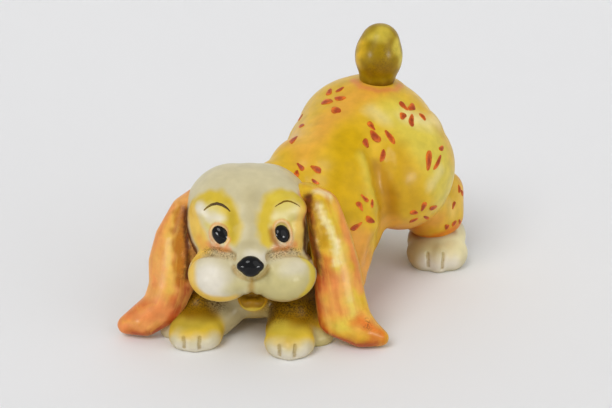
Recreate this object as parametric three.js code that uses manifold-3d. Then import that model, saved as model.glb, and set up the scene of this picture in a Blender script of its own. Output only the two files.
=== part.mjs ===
// Dog figurine: a slip-cast, hand-painted ceramic spaniel puppy in a play bow, with its chest low, its rump
// up and its tail in the air. The castings are hollow where they are thick, and slip joins them.
// Millimetres and degrees, +Z up. The face looks along -Y. Left and right are the dog's own, so left is +X.
import * as THREE from "three";
import { mergeVertices } from "three/addons/utils/BufferGeometryUtils.js";
import Module from "manifold-3d";

// Clay: wall of the hollow castings, line of slip at each joint, air holes
const WALL = 3.5;
const JOINT_GAP = 0.3;
const VENT_DIAMETER = 3.6;
const PASSAGE_DIAMETER = 9;

// Torso: chest, loin and rump, on a line that swings to the dog's left behind the head
const BODY_YAW = 32;
const CHEST_FROM_HEAD_X = 16.9;
const CHEST_FROM_HEAD_Y = 16;
const CHEST_WIDTH = 40;
const CHEST_LENGTH = 37;
const CHEST_HEIGHT = 32.6;
const BELLY_CLEARANCE = 3.8;
const LOIN_WIDTH = 34.8;
const LOIN_HEIGHT = 36.8;
const LOIN_RISE = 11.9;
const RUMP_WIDTH = 44.8;
const RUMP_LENGTH = 38.8;
const RUMP_HEIGHT = 36.8;
const RUMP_RISE = 20;
const CHEST_TO_RUMP = 31;
const BRISKET_WIDTH = 29;
const BRISKET_HEIGHT = 17;
const BRISKET_OFFSET = 4;
const NECK_DIAMETER = 24.8;
const NECK_SIDE_SHIFT = 8.6;
const NECK_OFFSET = 17;
const NECK_LIFT = 30.2;
const TORSO_SOFTNESS = 3;

// Head: cranium, face, two jowls and the bridge that carries the nose
const CRANIUM_WIDTH = 36;
const CRANIUM_DEPTH = 34;
const CRANIUM_HEIGHT = 30;
const CRANIUM_LIFT = 31;
const CRANIUM_OFFSET = 2;
const CRANIUM_SIDE_SHIFT = 1.5;
const FACE_WIDTH = 30;
const FACE_HEIGHT = 25;
const FACE_OFFSET = 8;
const FACE_DROP = 4;
const JOWL_WIDTH = 18.4;
const JOWL_DEPTH = 18;
const JOWL_HEIGHT = 14.8;
const JOWL_SPACING = 16.8;
const JOWL_OFFSET = 14.5;
const JOWL_DROP = 10.4;
const BRIDGE_WIDTH = 11.6;
const BRIDGE_HEIGHT = 11;
const BRIDGE_LENGTH = 14.8;
const BRIDGE_OFFSET = 16.8;
const BRIDGE_RISE = 7.2;
const HEAD_SOFTNESS = 2.5;

// Features set into the head
const NOSE_WIDTH = 6.8;
const NOSE_HEIGHT = 5.2;
const NOSE_DEPTH = 4.2;
const EYE_WIDTH = 5.2;
const EYE_HEIGHT = 6.6;
const EYE_DEPTH = 4;
const EYE_SPACING = 16.6;
const EYE_RISE = 3;
const LIP_WIDTH = 9.2;
const LIP_DEPTH = 10;
const LIP_HEIGHT = 6;
const LIP_OFFSET = 1.5;
const LIP_DROP = 6.1;

// Ears: hung from the sides of the cranium, with the tips turned out just clear of the table
const EAR_ROOT_WIDTH = 9;
const EAR_ROOT_INSET = 3;
const EAR_WIDTH = 13.4;
const EAR_THICKNESS = 8.2;
const EAR_SPREAD = 45.2;
const EAR_NARROWING = 4.4;
const EAR_TIP_REACH = 14.4;
const LEFT_EAR_OFFSET = 17;
const RIGHT_EAR_OFFSET = 10;
const EAR_CLEARANCE = 0.6;

// Forelegs: forearms flat on the table, with the paws in front of the chest
const PAW_SPACING = 26.5;
const PAW_STAGGER = 4;
const PAW_SIDE_SHIFT = 3.35;
const PAW_OFFSET = 10.5;
const PAW_WIDTH = 16.6;
const PAW_LENGTH = 20;
const PAW_HEIGHT = 9.6;
const WRIST_DIAMETER = 14.8;
const FOREARM_DIAMETER = 16.4;
const ELBOW_SPACING = 28;
const ELBOW_SIDE_SHIFT = 9;
const ELBOW_OFFSET = 4.5;
const ELBOW_STAGGER = 5;

// Hind legs: haunches on the rump, shanks that run down and back from them, heels, and paws under the heels
const HAUNCH_WIDTH = 27.4;
const LEFT_HAUNCH_LENGTH = 37.6;
const RIGHT_HAUNCH_LENGTH = 32;
const HAUNCH_HEIGHT = 33.2;
const HAUNCH_SPACING = 26.6;
const HAUNCH_DROP = 7.5;
const HAUNCH_REAR = 15.2;
const SHANK_DIAMETER = 18.6;
const SHANK_RISE = 24.5;
const SHANK_INSET = 3;
const SHANK_LENGTH = 10.7;
const HOCK_DIAMETER = 16.4;
const HOCK_HEIGHT = 13.4;
const HEEL_DIAMETER = 13.2;
const HEEL_HEIGHT = 21;
const HEEL_BACK = 1.6;
const HIND_PAW_WIDTH = 18.4;
const HIND_PAW_LENGTH = 20;
const HIND_PAW_HEIGHT = 13.4;
const HIND_PAW_SPACING = 33.6;
const HIND_PAW_BACK = 13.2;

// Tail: an upright egg on the rump
const TAIL_WIDTH = 14.4;
const TAIL_HEIGHT = 21;
const TAIL_SIDE_SHIFT = 2.1;
const TAIL_OFFSET = 1;

// A length that is outside every piece
const OUTSIDE = CHEST_TO_RUMP * 3;

// Round forms are polyhedra; these are their subdivisions
const COARSE = 3;
const MEDIUM = 5;
const FINE = 8;
const ROUND_SIDES = 24;
const EAR_STATIONS = 16;
const EAR_SIDES = 14;
const ROLL_STEPS = 4;

// Paint
const PAINT = {
  cream: { color: 0xe9e2c4, roughness: 0.42 },
  yellow: { color: 0xe6bf45, roughness: 0.45 },
  orange: { color: 0xe2904f, roughness: 0.48 },
  olive: { color: 0xb09a25, roughness: 0.45 },
  ochre: { color: 0xc79a32, roughness: 0.5 },
  black: { color: 0x17171a, roughness: 0.12 },
};

const wasm = await Module();
wasm.setup();

const SIDES = [
  { side: "left", sign: 1, earOffset: LEFT_EAR_OFFSET, haunchLength: LEFT_HAUNCH_LENGTH },
  { side: "right", sign: -1, earOffset: RIGHT_EAR_OFFSET, haunchLength: RIGHT_HAUNCH_LENGTH },
];
const point = (x, y, z) => new THREE.Vector3(x, y, z);
const yaw = THREE.MathUtils.degToRad(BODY_YAW);

// Forms: lumps of clay and tapered limbs, each with its distance function

function lump(centre, width, length, height, turn = 0) {
  const radii = point(width / 2, length / 2, height / 2);
  const axis = point(0, 0, 1);
  return (p) => {
    const q = p.clone().sub(centre).applyAxisAngle(axis, turn);
    const near = q.clone().divide(radii);
    const steep = near.clone().divide(radii).length();
    return steep < 1e-9 ? -Math.min(...radii) : (near.length() * (near.length() - 1)) / steep;
  };
}

function limb(from, fromDiameter, to, toDiameter) {
  const line = new THREE.Line3(from, to);
  return (p) => {
    const share = line.closestPointToPointParameter(p, true);
    const radius = THREE.MathUtils.lerp(fromDiameter, toDiameter, share) / 2;
    return line.at(share, point(0, 0, 0)).distanceTo(p) - radius;
  };
}

// Clay rolled out from one place and size to the next
function roll(stations, turn) {
  const lumps = [];
  for (let i = 0; i + 1 < stations.length; i += 1) {
    const [from, to] = [stations[i], stations[i + 1]];
    for (let step = 0; step <= ROLL_STEPS; step += 1) {
      const share = step / ROLL_STEPS;
      const size = from.size.clone().lerp(to.size, share);
      lumps.push(lump(from.centre.clone().lerp(to.centre, share), ...size, turn));
    }
  }
  return (p) => Math.min(...lumps.map((distance) => distance(p)));
}

function blend(lumps, softness) {
  const join = (a, b) => {
    const h = THREE.MathUtils.clamp(0.5 + (b - a) / (2 * softness), 0, 1);
    return THREE.MathUtils.lerp(b, a, h) - softness * h * (1 - h);
  };
  return (p) => lumps.map((distance) => distance(p)).reduce(join);
}

// Where a straight line into a form first meets its surface
function surfaceAlong(distance, from, towards) {
  const steps = 200;
  const at = (share) => from.clone().lerp(towards, share);
  let outside = 0;
  while (outside < steps && distance(at(outside / steps)) > 0) outside += 1;
  let [low, high] = [(outside - 1) / steps, outside / steps];
  for (let i = 0; i < 20; i += 1) {
    const middle = (low + high) / 2;
    if (distance(at(middle)) > 0) low = middle;
    else high = middle;
  }
  return at(high);
}

// Closed surfaces

// A polyhedron drawn in from outside until it lies on the form, grown or shrunk by an offset
function wrapped(form, subdivisions, grow = 0) {
  const ball = new THREE.IcosahedronGeometry(1, subdivisions);
  ball.deleteAttribute("normal");
  ball.deleteAttribute("uv");
  const skin = mergeVertices(ball, 1e-4);
  const places = skin.getAttribute("position");
  const grown = (p) => form.distance(p) - grow;
  for (let i = 0; i < places.count; i += 1) {
    const far = point(0, 0, 0).fromBufferAttribute(places, i).multiplyScalar(OUTSIDE).add(form.centre);
    places.setXYZ(i, ...surfaceAlong(grown, far, form.centre));
  }
  return skin;
}

// A tube of oval sections: each station has a place, a width direction, a thickness direction and two radii
function lofted(stations, sides) {
  const vertices = [];
  const triangles = [];
  for (const { place, across, through, width, thickness } of stations) {
    for (let i = 0; i < sides; i += 1) {
      const angle = (2 * Math.PI * i) / sides;
      const rim = place.clone().addScaledVector(across, width * Math.cos(angle));
      vertices.push(...rim.addScaledVector(through, thickness * Math.sin(angle)));
    }
  }
  const ring = (station, i) => station * sides + (i % sides);
  for (let s = 0; s + 1 < stations.length; s += 1) {
    for (let i = 0; i < sides; i += 1) {
      triangles.push(ring(s, i), ring(s, i + 1), ring(s + 1, i + 1));
      triangles.push(ring(s, i), ring(s + 1, i + 1), ring(s + 1, i));
    }
  }
  const last = stations.length - 1;
  for (let i = 1; i + 1 < sides; i += 1) {
    triangles.push(ring(0, 0), ring(0, i + 1), ring(0, i));
    triangles.push(ring(last, 0), ring(last, i), ring(last, i + 1));
  }
  const skin = new THREE.BufferGeometry();
  skin.setAttribute("position", new THREE.Float32BufferAttribute(vertices, 3));
  skin.setIndex(triangles);
  return skin;
}

// A round hole from one point to another
function rod(from, to, diameter) {
  const along = to.clone().sub(from);
  const hole = new THREE.CylinderGeometry(diameter / 2, diameter / 2, along.length(), ROUND_SIDES);
  const turn = new THREE.Quaternion().setFromUnitVectors(point(0, 1, 0), along.clone().normalize());
  const middle = from.clone().add(to).divideScalar(2);
  return hole.applyQuaternion(turn).translate(...middle);
}

// Solids: joining and cutting

function solid(geometry) {
  const bare = new THREE.BufferGeometry().setAttribute("position", geometry.getAttribute("position"));
  const skin = mergeVertices(bare.setIndex(geometry.getIndex()), 1e-5);
  const vertProperties = new Float32Array(skin.getAttribute("position").array);
  const triVerts = new Uint32Array(skin.getIndex().array);
  return new wasm.Manifold(new wasm.Mesh({ numProp: 3, vertProperties, triVerts }));
}

const cut = (body, ...cutters) => cutters.reduce((rest, cutter) => rest.subtract(cutter), body);

// A form's own solid, and the room that its neighbours leave for it and its joint
const full = (form, subdivisions) => solid(wrapped(form, subdivisions));
const room = (form, subdivisions) => solid(wrapped(form, subdivisions, JOINT_GAP));
const cavity = (form, subdivisions) => solid(wrapped(form, subdivisions, -WALL));

function piece(name, body, paint, centre) {
  const { vertProperties, triVerts } = body.getMesh();
  const skin = new THREE.BufferGeometry();
  skin.setAttribute("position", new THREE.BufferAttribute(new Float32Array(vertProperties), 3));
  skin.setIndex(new THREE.BufferAttribute(new Uint32Array(triVerts), 1));
  skin.translate(-centre.x, -centre.y, -centre.z);
  skin.computeVertexNormals();
  const mesh = new THREE.Mesh(skin, new THREE.MeshStandardMaterial({ metalness: 0, ...PAINT[paint] }));
  mesh.name = name;
  mesh.position.copy(centre);
  return mesh;
}

// The table top, or a level above it, as a block that cuts off all below
const tableAt = (level) =>
  solid(new THREE.BoxGeometry(OUTSIDE * 4, OUTSIDE * 4, OUTSIDE).translate(0, 0, level - OUTSIDE / 2));
const table = tableAt(0);

// Torso

const chestCentre = point(CHEST_FROM_HEAD_X, CHEST_FROM_HEAD_Y, BELLY_CLEARANCE + CHEST_HEIGHT / 2);

// A place on the body's own line: to the dog's left of it, back along it from the chest, up from the table
const onBody = (left, back, up) =>
  point(left, back, up).applyAxisAngle(point(0, 0, 1), -yaw).add(point(chestCentre.x, chestCentre.y, 0));

const rumpCentre = onBody(0, CHEST_TO_RUMP, chestCentre.z + RUMP_RISE);
const loinCentre = onBody(0, CHEST_TO_RUMP * 0.37, chestCentre.z + LOIN_RISE);
const brisketCentre = point(0, BRISKET_OFFSET, BELLY_CLEARANCE + BRISKET_HEIGHT / 2);
const neckCentre = point(NECK_SIDE_SHIFT, NECK_OFFSET, NECK_LIFT);
const back = [
  { centre: chestCentre, size: point(CHEST_WIDTH, CHEST_LENGTH, CHEST_HEIGHT) },
  { centre: loinCentre, size: point(LOIN_WIDTH, CHEST_LENGTH, LOIN_HEIGHT) },
  { centre: rumpCentre, size: point(RUMP_WIDTH, RUMP_LENGTH, RUMP_HEIGHT) },
];

const torso = {
  centre: loinCentre,
  distance: blend(
    [
      roll(back, yaw),
      lump(brisketCentre, BRISKET_WIDTH, BRISKET_WIDTH * 0.75, BRISKET_HEIGHT),
      lump(neckCentre, NECK_DIAMETER, NECK_DIAMETER, NECK_DIAMETER),
    ],
    TORSO_SOFTNESS,
  ),
};
const torsoRoom = room(torso, FINE);

// Head

const craniumCentre = point(-CRANIUM_SIDE_SHIFT, CRANIUM_OFFSET, CRANIUM_LIFT);
const faceCentre = point(0, CRANIUM_OFFSET - FACE_OFFSET, CRANIUM_LIFT - FACE_DROP);
const jowlCentre = (sign) =>
  point((sign * JOWL_SPACING) / 2, craniumCentre.y - JOWL_OFFSET, CRANIUM_LIFT - JOWL_DROP);
const bridgeCentre = point(0, craniumCentre.y - BRIDGE_OFFSET, jowlCentre(1).z + BRIDGE_RISE);

const head = {
  centre: point(0, craniumCentre.y - FACE_OFFSET / 2, CRANIUM_LIFT - JOWL_DROP / 2),
  distance: blend(
    [
      lump(craniumCentre, CRANIUM_WIDTH, CRANIUM_DEPTH, CRANIUM_HEIGHT),
      lump(faceCentre, FACE_WIDTH, FACE_HEIGHT, FACE_HEIGHT),
      ...SIDES.map(({ sign }) => lump(jowlCentre(sign), JOWL_WIDTH, JOWL_DEPTH, JOWL_HEIGHT)),
      lump(bridgeCentre, BRIDGE_WIDTH, BRIDGE_LENGTH, BRIDGE_HEIGHT),
    ],
    HEAD_SOFTNESS,
  ),
};
const headRoom = room(head, FINE);

// The head's surface straight in front of a point on the face
const faceAt = (x, z) => surfaceAlong(head.distance, point(x, -OUTSIDE, z), point(x, craniumCentre.y, z));

const single = (centre, width, length, height) => {
  const distance = lump(centre, width, length, height);
  return { centre, distance };
};

const nose = single(faceAt(0, bridgeCentre.z), NOSE_WIDTH, NOSE_DEPTH, NOSE_HEIGHT);
const eye = (sign) =>
  single(faceAt((sign * EYE_SPACING) / 2, CRANIUM_LIFT + EYE_RISE), EYE_WIDTH, EYE_DEPTH, EYE_HEIGHT);
const lip = single(
  jowlCentre(0).sub(point(0, LIP_OFFSET, LIP_DROP)),
  LIP_WIDTH,
  LIP_DEPTH,
  LIP_HEIGHT,
);

// Forelegs

function foreleg(sign) {
  const paw = point((sign * PAW_SPACING) / 2 - PAW_SIDE_SHIFT, -PAW_OFFSET - (sign * PAW_STAGGER) / 2, 0);
  const pawCentre = paw.clone().setZ(PAW_HEIGHT / 3);
  const wrist = paw.clone().add(point(0, PAW_LENGTH / 4, WRIST_DIAMETER * 0.38));
  const elbow = chestCentre.clone().setZ(FOREARM_DIAMETER * 0.55);
  const elbowOut = (sign * ELBOW_SPACING) / 2 - ELBOW_SIDE_SHIFT;
  elbow.add(point(elbowOut, -ELBOW_OFFSET - (sign * ELBOW_STAGGER) / 2, 0));
  const forms = [
    lump(pawCentre, PAW_WIDTH, PAW_LENGTH, (PAW_HEIGHT * 4) / 3),
    limb(wrist, WRIST_DIAMETER, elbow, FOREARM_DIAMETER),
  ];
  return { centre: wrist.clone().lerp(elbow, 0.25), distance: blend(forms, HEAD_SOFTNESS) };
}

// Hind legs

function hindLeg(sign, length) {
  const haunchBack = CHEST_TO_RUMP + HAUNCH_REAR - length / 2;
  const haunch = onBody((sign * HAUNCH_SPACING) / 2, haunchBack, rumpCentre.z - HAUNCH_DROP);
  const out = (sign * HIND_PAW_SPACING) / 2;
  const pawBack = CHEST_TO_RUMP + HIND_PAW_BACK;
  const knee = onBody(out - sign * SHANK_INSET, pawBack - SHANK_LENGTH, SHANK_RISE);
  const hock = onBody(out, pawBack, HOCK_HEIGHT);
  const heel = onBody(out, pawBack + HEEL_BACK, HEEL_HEIGHT);
  const forms = [
    lump(haunch, HAUNCH_WIDTH, length, HAUNCH_HEIGHT, yaw),
    limb(knee, SHANK_DIAMETER, hock, HOCK_DIAMETER),
    limb(heel, HEEL_DIAMETER, heel.clone().setZ(HOCK_HEIGHT), HEEL_DIAMETER),
  ];
  return { centre: haunch.clone().lerp(hock, 0.4), haunch, distance: blend(forms, HEAD_SOFTNESS) };
}

function hindPaw(sign) {
  const sole = onBody((sign * HIND_PAW_SPACING) / 2, CHEST_TO_RUMP + HIND_PAW_BACK, 0);
  const height = HIND_PAW_HEIGHT * 1.25;
  return single(sole.setZ(HIND_PAW_HEIGHT - height / 2), HIND_PAW_WIDTH, HIND_PAW_LENGTH, height);
}

// Tail

const tailFoot = onBody(TAIL_SIDE_SHIFT, CHEST_TO_RUMP + TAIL_OFFSET, rumpCentre.z);
const tailSeat = surfaceAlong(torso.distance, tailFoot.clone().setZ(rumpCentre.z + RUMP_HEIGHT), tailFoot);
const tailAt = (share) => tailSeat.clone().add(point(0, 0, TAIL_HEIGHT * share));
const tailTip = TAIL_WIDTH * 0.7;
const tail = {
  centre: tailAt(0.35),
  distance: blend(
    [
      lump(tailAt(0.3), TAIL_WIDTH, TAIL_WIDTH, TAIL_HEIGHT * 0.86),
      lump(tailAt(0.58), tailTip, tailTip, tailTip),
    ],
    HEAD_SOFTNESS,
  ),
};

// Ears: a spine from the side of the cranium down past the jowl, then out along the table

function ear(sign, forward) {
  const spread = EAR_SPREAD / 2;
  const root = surfaceAlong(
    head.distance,
    craniumCentre.clone().add(point(sign * CRANIUM_WIDTH, 0, CRANIUM_HEIGHT * 0.5)),
    craniumCentre,
  ).sub(point(sign * EAR_ROOT_INSET, 0, 0));
  const foot = EAR_CLEARANCE + EAR_THICKNESS * 0.66;
  const along = (out, ahead, up) => point(sign * out, craniumCentre.y - forward * ahead, up);
  const spine = new THREE.CatmullRomCurve3([
    root,
    along(spread - EAR_NARROWING, 0.37, CRANIUM_LIFT + CRANIUM_HEIGHT * 0.15),
    along(spread - EAR_NARROWING / 2, 0.62, CRANIUM_LIFT - CRANIUM_HEIGHT * 0.15),
    along(spread, 0.8, CRANIUM_LIFT - CRANIUM_HEIGHT * 0.57),
    along(spread + EAR_TIP_REACH * 0.2, 0.92, foot * 1.27),
    along(spread + EAR_TIP_REACH, 1, foot - EAR_THICKNESS * 0.36),
  ]);
  const rootFacing = point(sign * 0.3, -0.9, 0.25);
  const tipFacing = point(0, -0.7, 0.7);
  const stations = [];
  for (let i = 0; i <= EAR_STATIONS; i += 1) {
    const share = Math.sin(((i / EAR_STATIONS) * Math.PI) / 2);
    const tangent = spine.getTangentAt(share);
    const facing = rootFacing.clone().lerp(tipFacing, share);
    const across = tangent.clone().cross(facing).normalize();
    const through = tangent.clone().cross(across).normalize();
    const filled = THREE.MathUtils.smoothstep(share, 0, 0.5);
    const swell = THREE.MathUtils.lerp(EAR_ROOT_WIDTH, EAR_WIDTH, filled);
    const close = Math.sqrt(1.005 - Math.max(0, (share - 0.7) / 0.3) ** 2);
    const thin = THREE.MathUtils.lerp(0.75, 1, THREE.MathUtils.smoothstep(share, 0, 0.3));
    stations.push({
      place: spine.getPointAt(share),
      across,
      through,
      width: (swell / 2) * close,
      thickness: (EAR_THICKNESS / 2) * close * thin,
    });
  }
  return { body: solid(lofted(stations, EAR_SIDES)), centre: spine.getPointAt(0.5) };
}

// Assembly: each casting is cut back from those that it is stuck to

const figurine = new THREE.Group();
const front = new THREE.Group();
const rear = new THREE.Group();
figurine.add(front, rear);

const passage = (from, to) => solid(rod(from, to, PASSAGE_DIAMETER));
const neckPassage = passage(craniumCentre, chestCentre);
const ventTop = onBody(0, CHEST_TO_RUMP * 0.37, chestCentre.z);
const vent = solid(rod(ventTop.clone().setZ(-WALL), ventTop, VENT_DIAMETER));
const airWays = [neckPassage, vent];

const forelegRooms = [];
for (const { side, sign } of SIDES) {
  const form = foreleg(sign);
  forelegRooms.push(room(form, MEDIUM));
  const body = cut(full(form, MEDIUM), torsoRoom, headRoom, table);
  front.add(piece(`${side}_foreleg`, body, "cream", form.centre));
}

for (const { side, sign, haunchLength } of SIDES) {
  const form = hindLeg(sign, haunchLength);
  const paw = hindPaw(sign);
  const airWay = passage(rumpCentre, form.haunch);
  airWays.push(airWay);
  const shell = cut(full(form, MEDIUM + 1), cavity(form, COARSE), airWay, torsoRoom);
  rear.add(piece(`${side}_hind_leg`, shell, "yellow", form.centre));
  const foot = cut(full(paw, MEDIUM - 1), room(form, MEDIUM + 1), table);
  rear.add(piece(`${side}_hind_paw`, foot, "cream", paw.centre));
}

rear.add(piece("torso", cut(full(torso, FINE), cavity(torso, MEDIUM), ...airWays), "yellow", torso.centre));
rear.add(piece("tail", cut(full(tail, MEDIUM - 1), torsoRoom), "olive", tail.centre));

const eyes = SIDES.map(({ side, sign }) => ({ side, form: eye(sign) }));
const sockets = [nose, ...eyes.map(({ form }) => form)].map((form) => room(form, COARSE - 1));
const skull = cut(full(head, FINE), cavity(head, MEDIUM - 1), neckPassage, torsoRoom, ...sockets);
front.add(piece("head", skull, "cream", head.centre));
front.add(piece("nose", full(nose, COARSE - 1), "black", nose.centre));
for (const { side, form } of eyes) {
  front.add(piece(`${side}_eye`, full(form, COARSE - 1), "black", form.centre));
}
const lipBody = cut(full(lip, COARSE), headRoom, torsoRoom, ...forelegRooms);
front.add(piece("lower_lip", lipBody, "ochre", lip.centre));

const underEars = tableAt(EAR_CLEARANCE);
for (const { side, sign, earOffset } of SIDES) {
  const { body, centre } = ear(sign, earOffset);
  const hung = cut(body, headRoom, torsoRoom, ...forelegRooms, underEars);
  front.add(piece(`${side}_ear`, hung, "orange", centre));
}

// The origin lies under the middle of the figurine, on the table
const extent = new THREE.Box3().setFromObject(figurine, true);
const middle = extent.getCenter(point(0, 0, 0));
figurine.position.set(-middle.x, -middle.y, -extent.min.z);

export default figurine;
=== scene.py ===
"""Dog figurine in a play bow: clay forms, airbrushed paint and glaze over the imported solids.

The figurine is modelled the way it was once made: balls of clay are pressed together and smoothed, lines
are scored into the skin, colour is sprayed on with a soft edge, petals are dabbed on with a brush, and a
satin glaze covers it all. Places are millimetres from the point on the table under the head, with x to the
dog's left, y to its rear and z up; the face looks along -y.
"""

from __future__ import annotations

import logging
import math
from collections.abc import Iterator, Sequence
from contextlib import contextmanager
from dataclasses import dataclass, field, replace
from enum import Enum

import bpy
import numpy as np
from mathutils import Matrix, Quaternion, Vector

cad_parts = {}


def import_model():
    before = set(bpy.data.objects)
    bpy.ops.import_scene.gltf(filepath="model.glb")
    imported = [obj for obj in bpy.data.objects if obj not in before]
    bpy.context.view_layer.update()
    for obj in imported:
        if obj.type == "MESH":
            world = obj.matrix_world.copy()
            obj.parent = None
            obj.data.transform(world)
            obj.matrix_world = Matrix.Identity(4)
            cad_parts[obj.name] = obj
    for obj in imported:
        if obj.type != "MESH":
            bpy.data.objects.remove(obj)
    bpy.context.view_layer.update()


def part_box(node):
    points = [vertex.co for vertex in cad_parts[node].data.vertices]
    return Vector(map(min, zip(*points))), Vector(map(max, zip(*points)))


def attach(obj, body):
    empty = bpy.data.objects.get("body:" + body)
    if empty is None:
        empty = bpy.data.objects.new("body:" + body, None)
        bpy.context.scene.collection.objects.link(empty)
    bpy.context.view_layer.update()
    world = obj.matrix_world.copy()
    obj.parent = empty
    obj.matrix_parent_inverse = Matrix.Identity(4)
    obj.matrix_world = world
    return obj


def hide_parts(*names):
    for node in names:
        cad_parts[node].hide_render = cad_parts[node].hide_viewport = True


LOG = logging.getLogger("dog_figurine")

MM = 0.001
ROOT = "root"
UP = Vector((0, 0, 1))

# What the skins carry at their vertices
PAINT = "paint"
GRIME = "grime"
STREAK = "streak"
SKIN_NORMAL = "skin_normal"

# Steps in mm along a line that is laid on the skin, pressed in, or painted as a brow
TRACE_STEP = 1.0
PRESS_STEP = 0.25
BROW_STEP = 0.35

# How far beside a pressed line the skin is cut finer, as a share of the line's reach
FINE_REACH = 1.4
# Step between the balls of a roll, as a share of their smallest half size
ROLL_STEP = 0.3
# Segments round a ball; from pole to pole it has half as many
BALL_SEGMENTS = 36
# Slack of a flat cut, in metres
CUT_SLACK = 1e-6
# A face with more sides than this is the lid of an open seam
LID_SIDES = 12
# The unsteady hand: how far it sways and the length of a sway, as shares of wander and reach
SWAY = 0.5
SWAY_LENGTH = 1.2
SWAY_WAVES = 7
SWAY_PACES = (0.6, 1.6)

Point = tuple[float, float, float]
Pair = tuple[float, float]
Path = Sequence[Point]
Thing = bpy.types.Object
Tree = bpy.types.NodeTree
Socket = bpy.types.NodeSocket


class Side(Enum):
    """The dog's own sides; the value is the sign of x."""

    LEFT = 1
    RIGHT = -1

    @property
    def word(self) -> str:
        """The side as the solids' names spell it."""
        return self.name.lower()


# Colour


def linear(hex_colour: str) -> tuple[float, float, float, float]:
    """Turns an sRGB hex colour to linear light.

    Args:
        hex_colour: Six hex digits after a hash sign.

    Returns:
        Red, green, blue and full alpha.
    """
    channels = [int(hex_colour[i : i + 2], 16) / 255 for i in (1, 3, 5)]
    light = [c / 12.92 if c <= 0.04045 else ((c + 0.055) / 1.055) ** 2.4 for c in channels]
    return light[0], light[1], light[2], 1.0


class Hue(str, Enum):
    """The paints on the figurine, and the paper under it."""

    CREAM = "#CEC39C"
    WHITE = "#E2DBCC"
    SAND = "#B9AC82"
    BUTTER = "#C6BA80"
    YELLOW = "#DAB026"
    GOLD = "#CCA202"
    LEMON = "#D8C34A"
    MASK = "#D2B42C"
    STRAW = "#E9C052"
    PALE = "#EFE3B0"
    AMBER = "#E6A044"
    APRICOT = "#E8A65C"
    SALMON = "#E28A4C"
    RED_ORANGE = "#C45A24"
    OCHRE = "#B3830E"
    GINGER = "#B46E08"
    OLIVE = "#987A00"
    MOSS = "#8C6404"
    TAN = "#9A560A"
    SHADE = "#4A3510"
    CREASE = "#542404"
    RUST = "#A6421A"
    RIM = "#DD701E"
    BLACK = "#060607"
    COAL = "#0E0E10"
    PAPER = "#EAEAEB"


# Lines


def samples(path: Path, step: float) -> np.ndarray:
    """Walks a line of points.

    Args:
        path: Corners of the line in mm.
        step: Distance between samples in mm.

    Returns:
        One row of x, y, z for each sample, ends included.
    """
    rows = [np.array(path[0], float)]
    for a, b in zip(path, path[1:]):
        start, end = np.array(a, float), np.array(b, float)
        count = max(1, math.ceil(np.linalg.norm(end - start) / step))
        rows.extend(start + (end - start) * i / count for i in range(1, count + 1))
    return np.array(rows)


def distance_to_path(points: np.ndarray, path: Path) -> np.ndarray:
    """Measures how far points lie from a line.

    Args:
        points: One row per point, in mm.
        path: Corners of the line in mm; a single corner is a spot.

    Returns:
        One distance per point.
    """
    corners = np.array(path, float)
    if len(corners) == 1:
        return np.linalg.norm(points - corners[0], axis=1)
    best = np.full(len(points), np.inf)
    for a, b in zip(corners, corners[1:]):
        along = b - a
        share = np.clip((points - a) @ along / max(along @ along, 1e-9), 0, 1)
        best = np.minimum(best, np.linalg.norm(points - (a + share[:, None] * along), axis=1))
    return best


def moved(path: Path, x: float, y: float) -> list[Point]:
    """A line whose places count from this point of the table, as places on the figurine."""
    return [(x + left, y + back, up) for left, back, up in path]


def ring(middle: Point, across: float, up: float, tilt: float = 0.0, turns: int = 20) -> list[Point]:
    """An oval line that faces the viewer of the face.

    Args:
        middle: Centre of the oval in mm.
        across: Half its width in mm.
        up: Half its height in mm.
        tilt: Roll of the oval in degrees.
        turns: How many corners it has.

    Returns:
        The corners, the first one repeated at the end.
    """
    roll = math.radians(tilt)
    line = []
    for i in range(turns + 1):
        angle = 2 * math.pi * i / turns
        x, z = across * math.cos(angle), up * math.sin(angle)
        left = middle[0] + x * math.cos(roll) - z * math.sin(roll)
        line.append((left, middle[1], middle[2] + x * math.sin(roll) + z * math.cos(roll)))
    return line


def drift(points: np.ndarray, size: float, seed: int) -> np.ndarray:
    """A smooth wandering value, as an unsteady hand gives.

    Args:
        points: One row per point, in mm.
        size: Length of a wander in mm.
        seed: Which wander.

    Returns:
        Values between about -1 and 1.
    """
    draw = np.random.default_rng(seed)
    total = np.zeros(len(points))
    for _ in range(SWAY_WAVES):
        heading = draw.normal(size=3)
        heading *= draw.uniform(*SWAY_PACES) * 2 * math.pi / (size * np.linalg.norm(heading))
        total += np.sin(points @ heading + draw.uniform(0, 2 * math.pi))
    return total / math.sqrt(SWAY_WAVES * 2)


# Bench work


def rows_of(layer: bpy.types.bpy_prop_collection, key: str) -> np.ndarray:
    """Reads a vector from each item of a mesh layer.

    Args:
        layer: Vertices, faces or the values of an attribute.
        key: Name of the vector.

    Returns:
        One row for each item.
    """
    flat = np.empty(len(layer) * 3, np.float32)
    layer.foreach_get(key, flat)
    return flat.reshape(-1, 3)


def pick_only(*pieces: Thing) -> None:
    """Selects these objects and nothing else, the first one active."""
    bpy.ops.object.select_all(action="DESELECT")
    for piece in pieces:
        piece.select_set(True)
    bpy.context.view_layer.objects.active = pieces[0]


def modify(piece: Thing, kind: str, **settings: object) -> None:
    """Gives an object a modifier and applies it.

    Args:
        piece: The object.
        kind: Type of the modifier.
        **settings: Its values.
    """
    pick_only(piece)
    modifier = piece.modifiers.new(kind.title(), kind)
    for name, value in settings.items():
        setattr(modifier, name, value)
    bpy.ops.object.modifier_apply(modifier=modifier.name)


@contextmanager
def edit_mode(piece: Thing, kind: str = "VERT") -> Iterator[None]:
    """Opens an object for editing, and closes it again.

    Args:
        piece: The object.
        kind: What is selected: VERT, EDGE or FACE.

    Yields:
        Nothing.
    """
    pick_only(piece)
    bpy.ops.object.mode_set(mode="EDIT")
    bpy.ops.mesh.select_mode(type=kind)
    yield
    bpy.ops.object.mode_set(mode="OBJECT")


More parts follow.
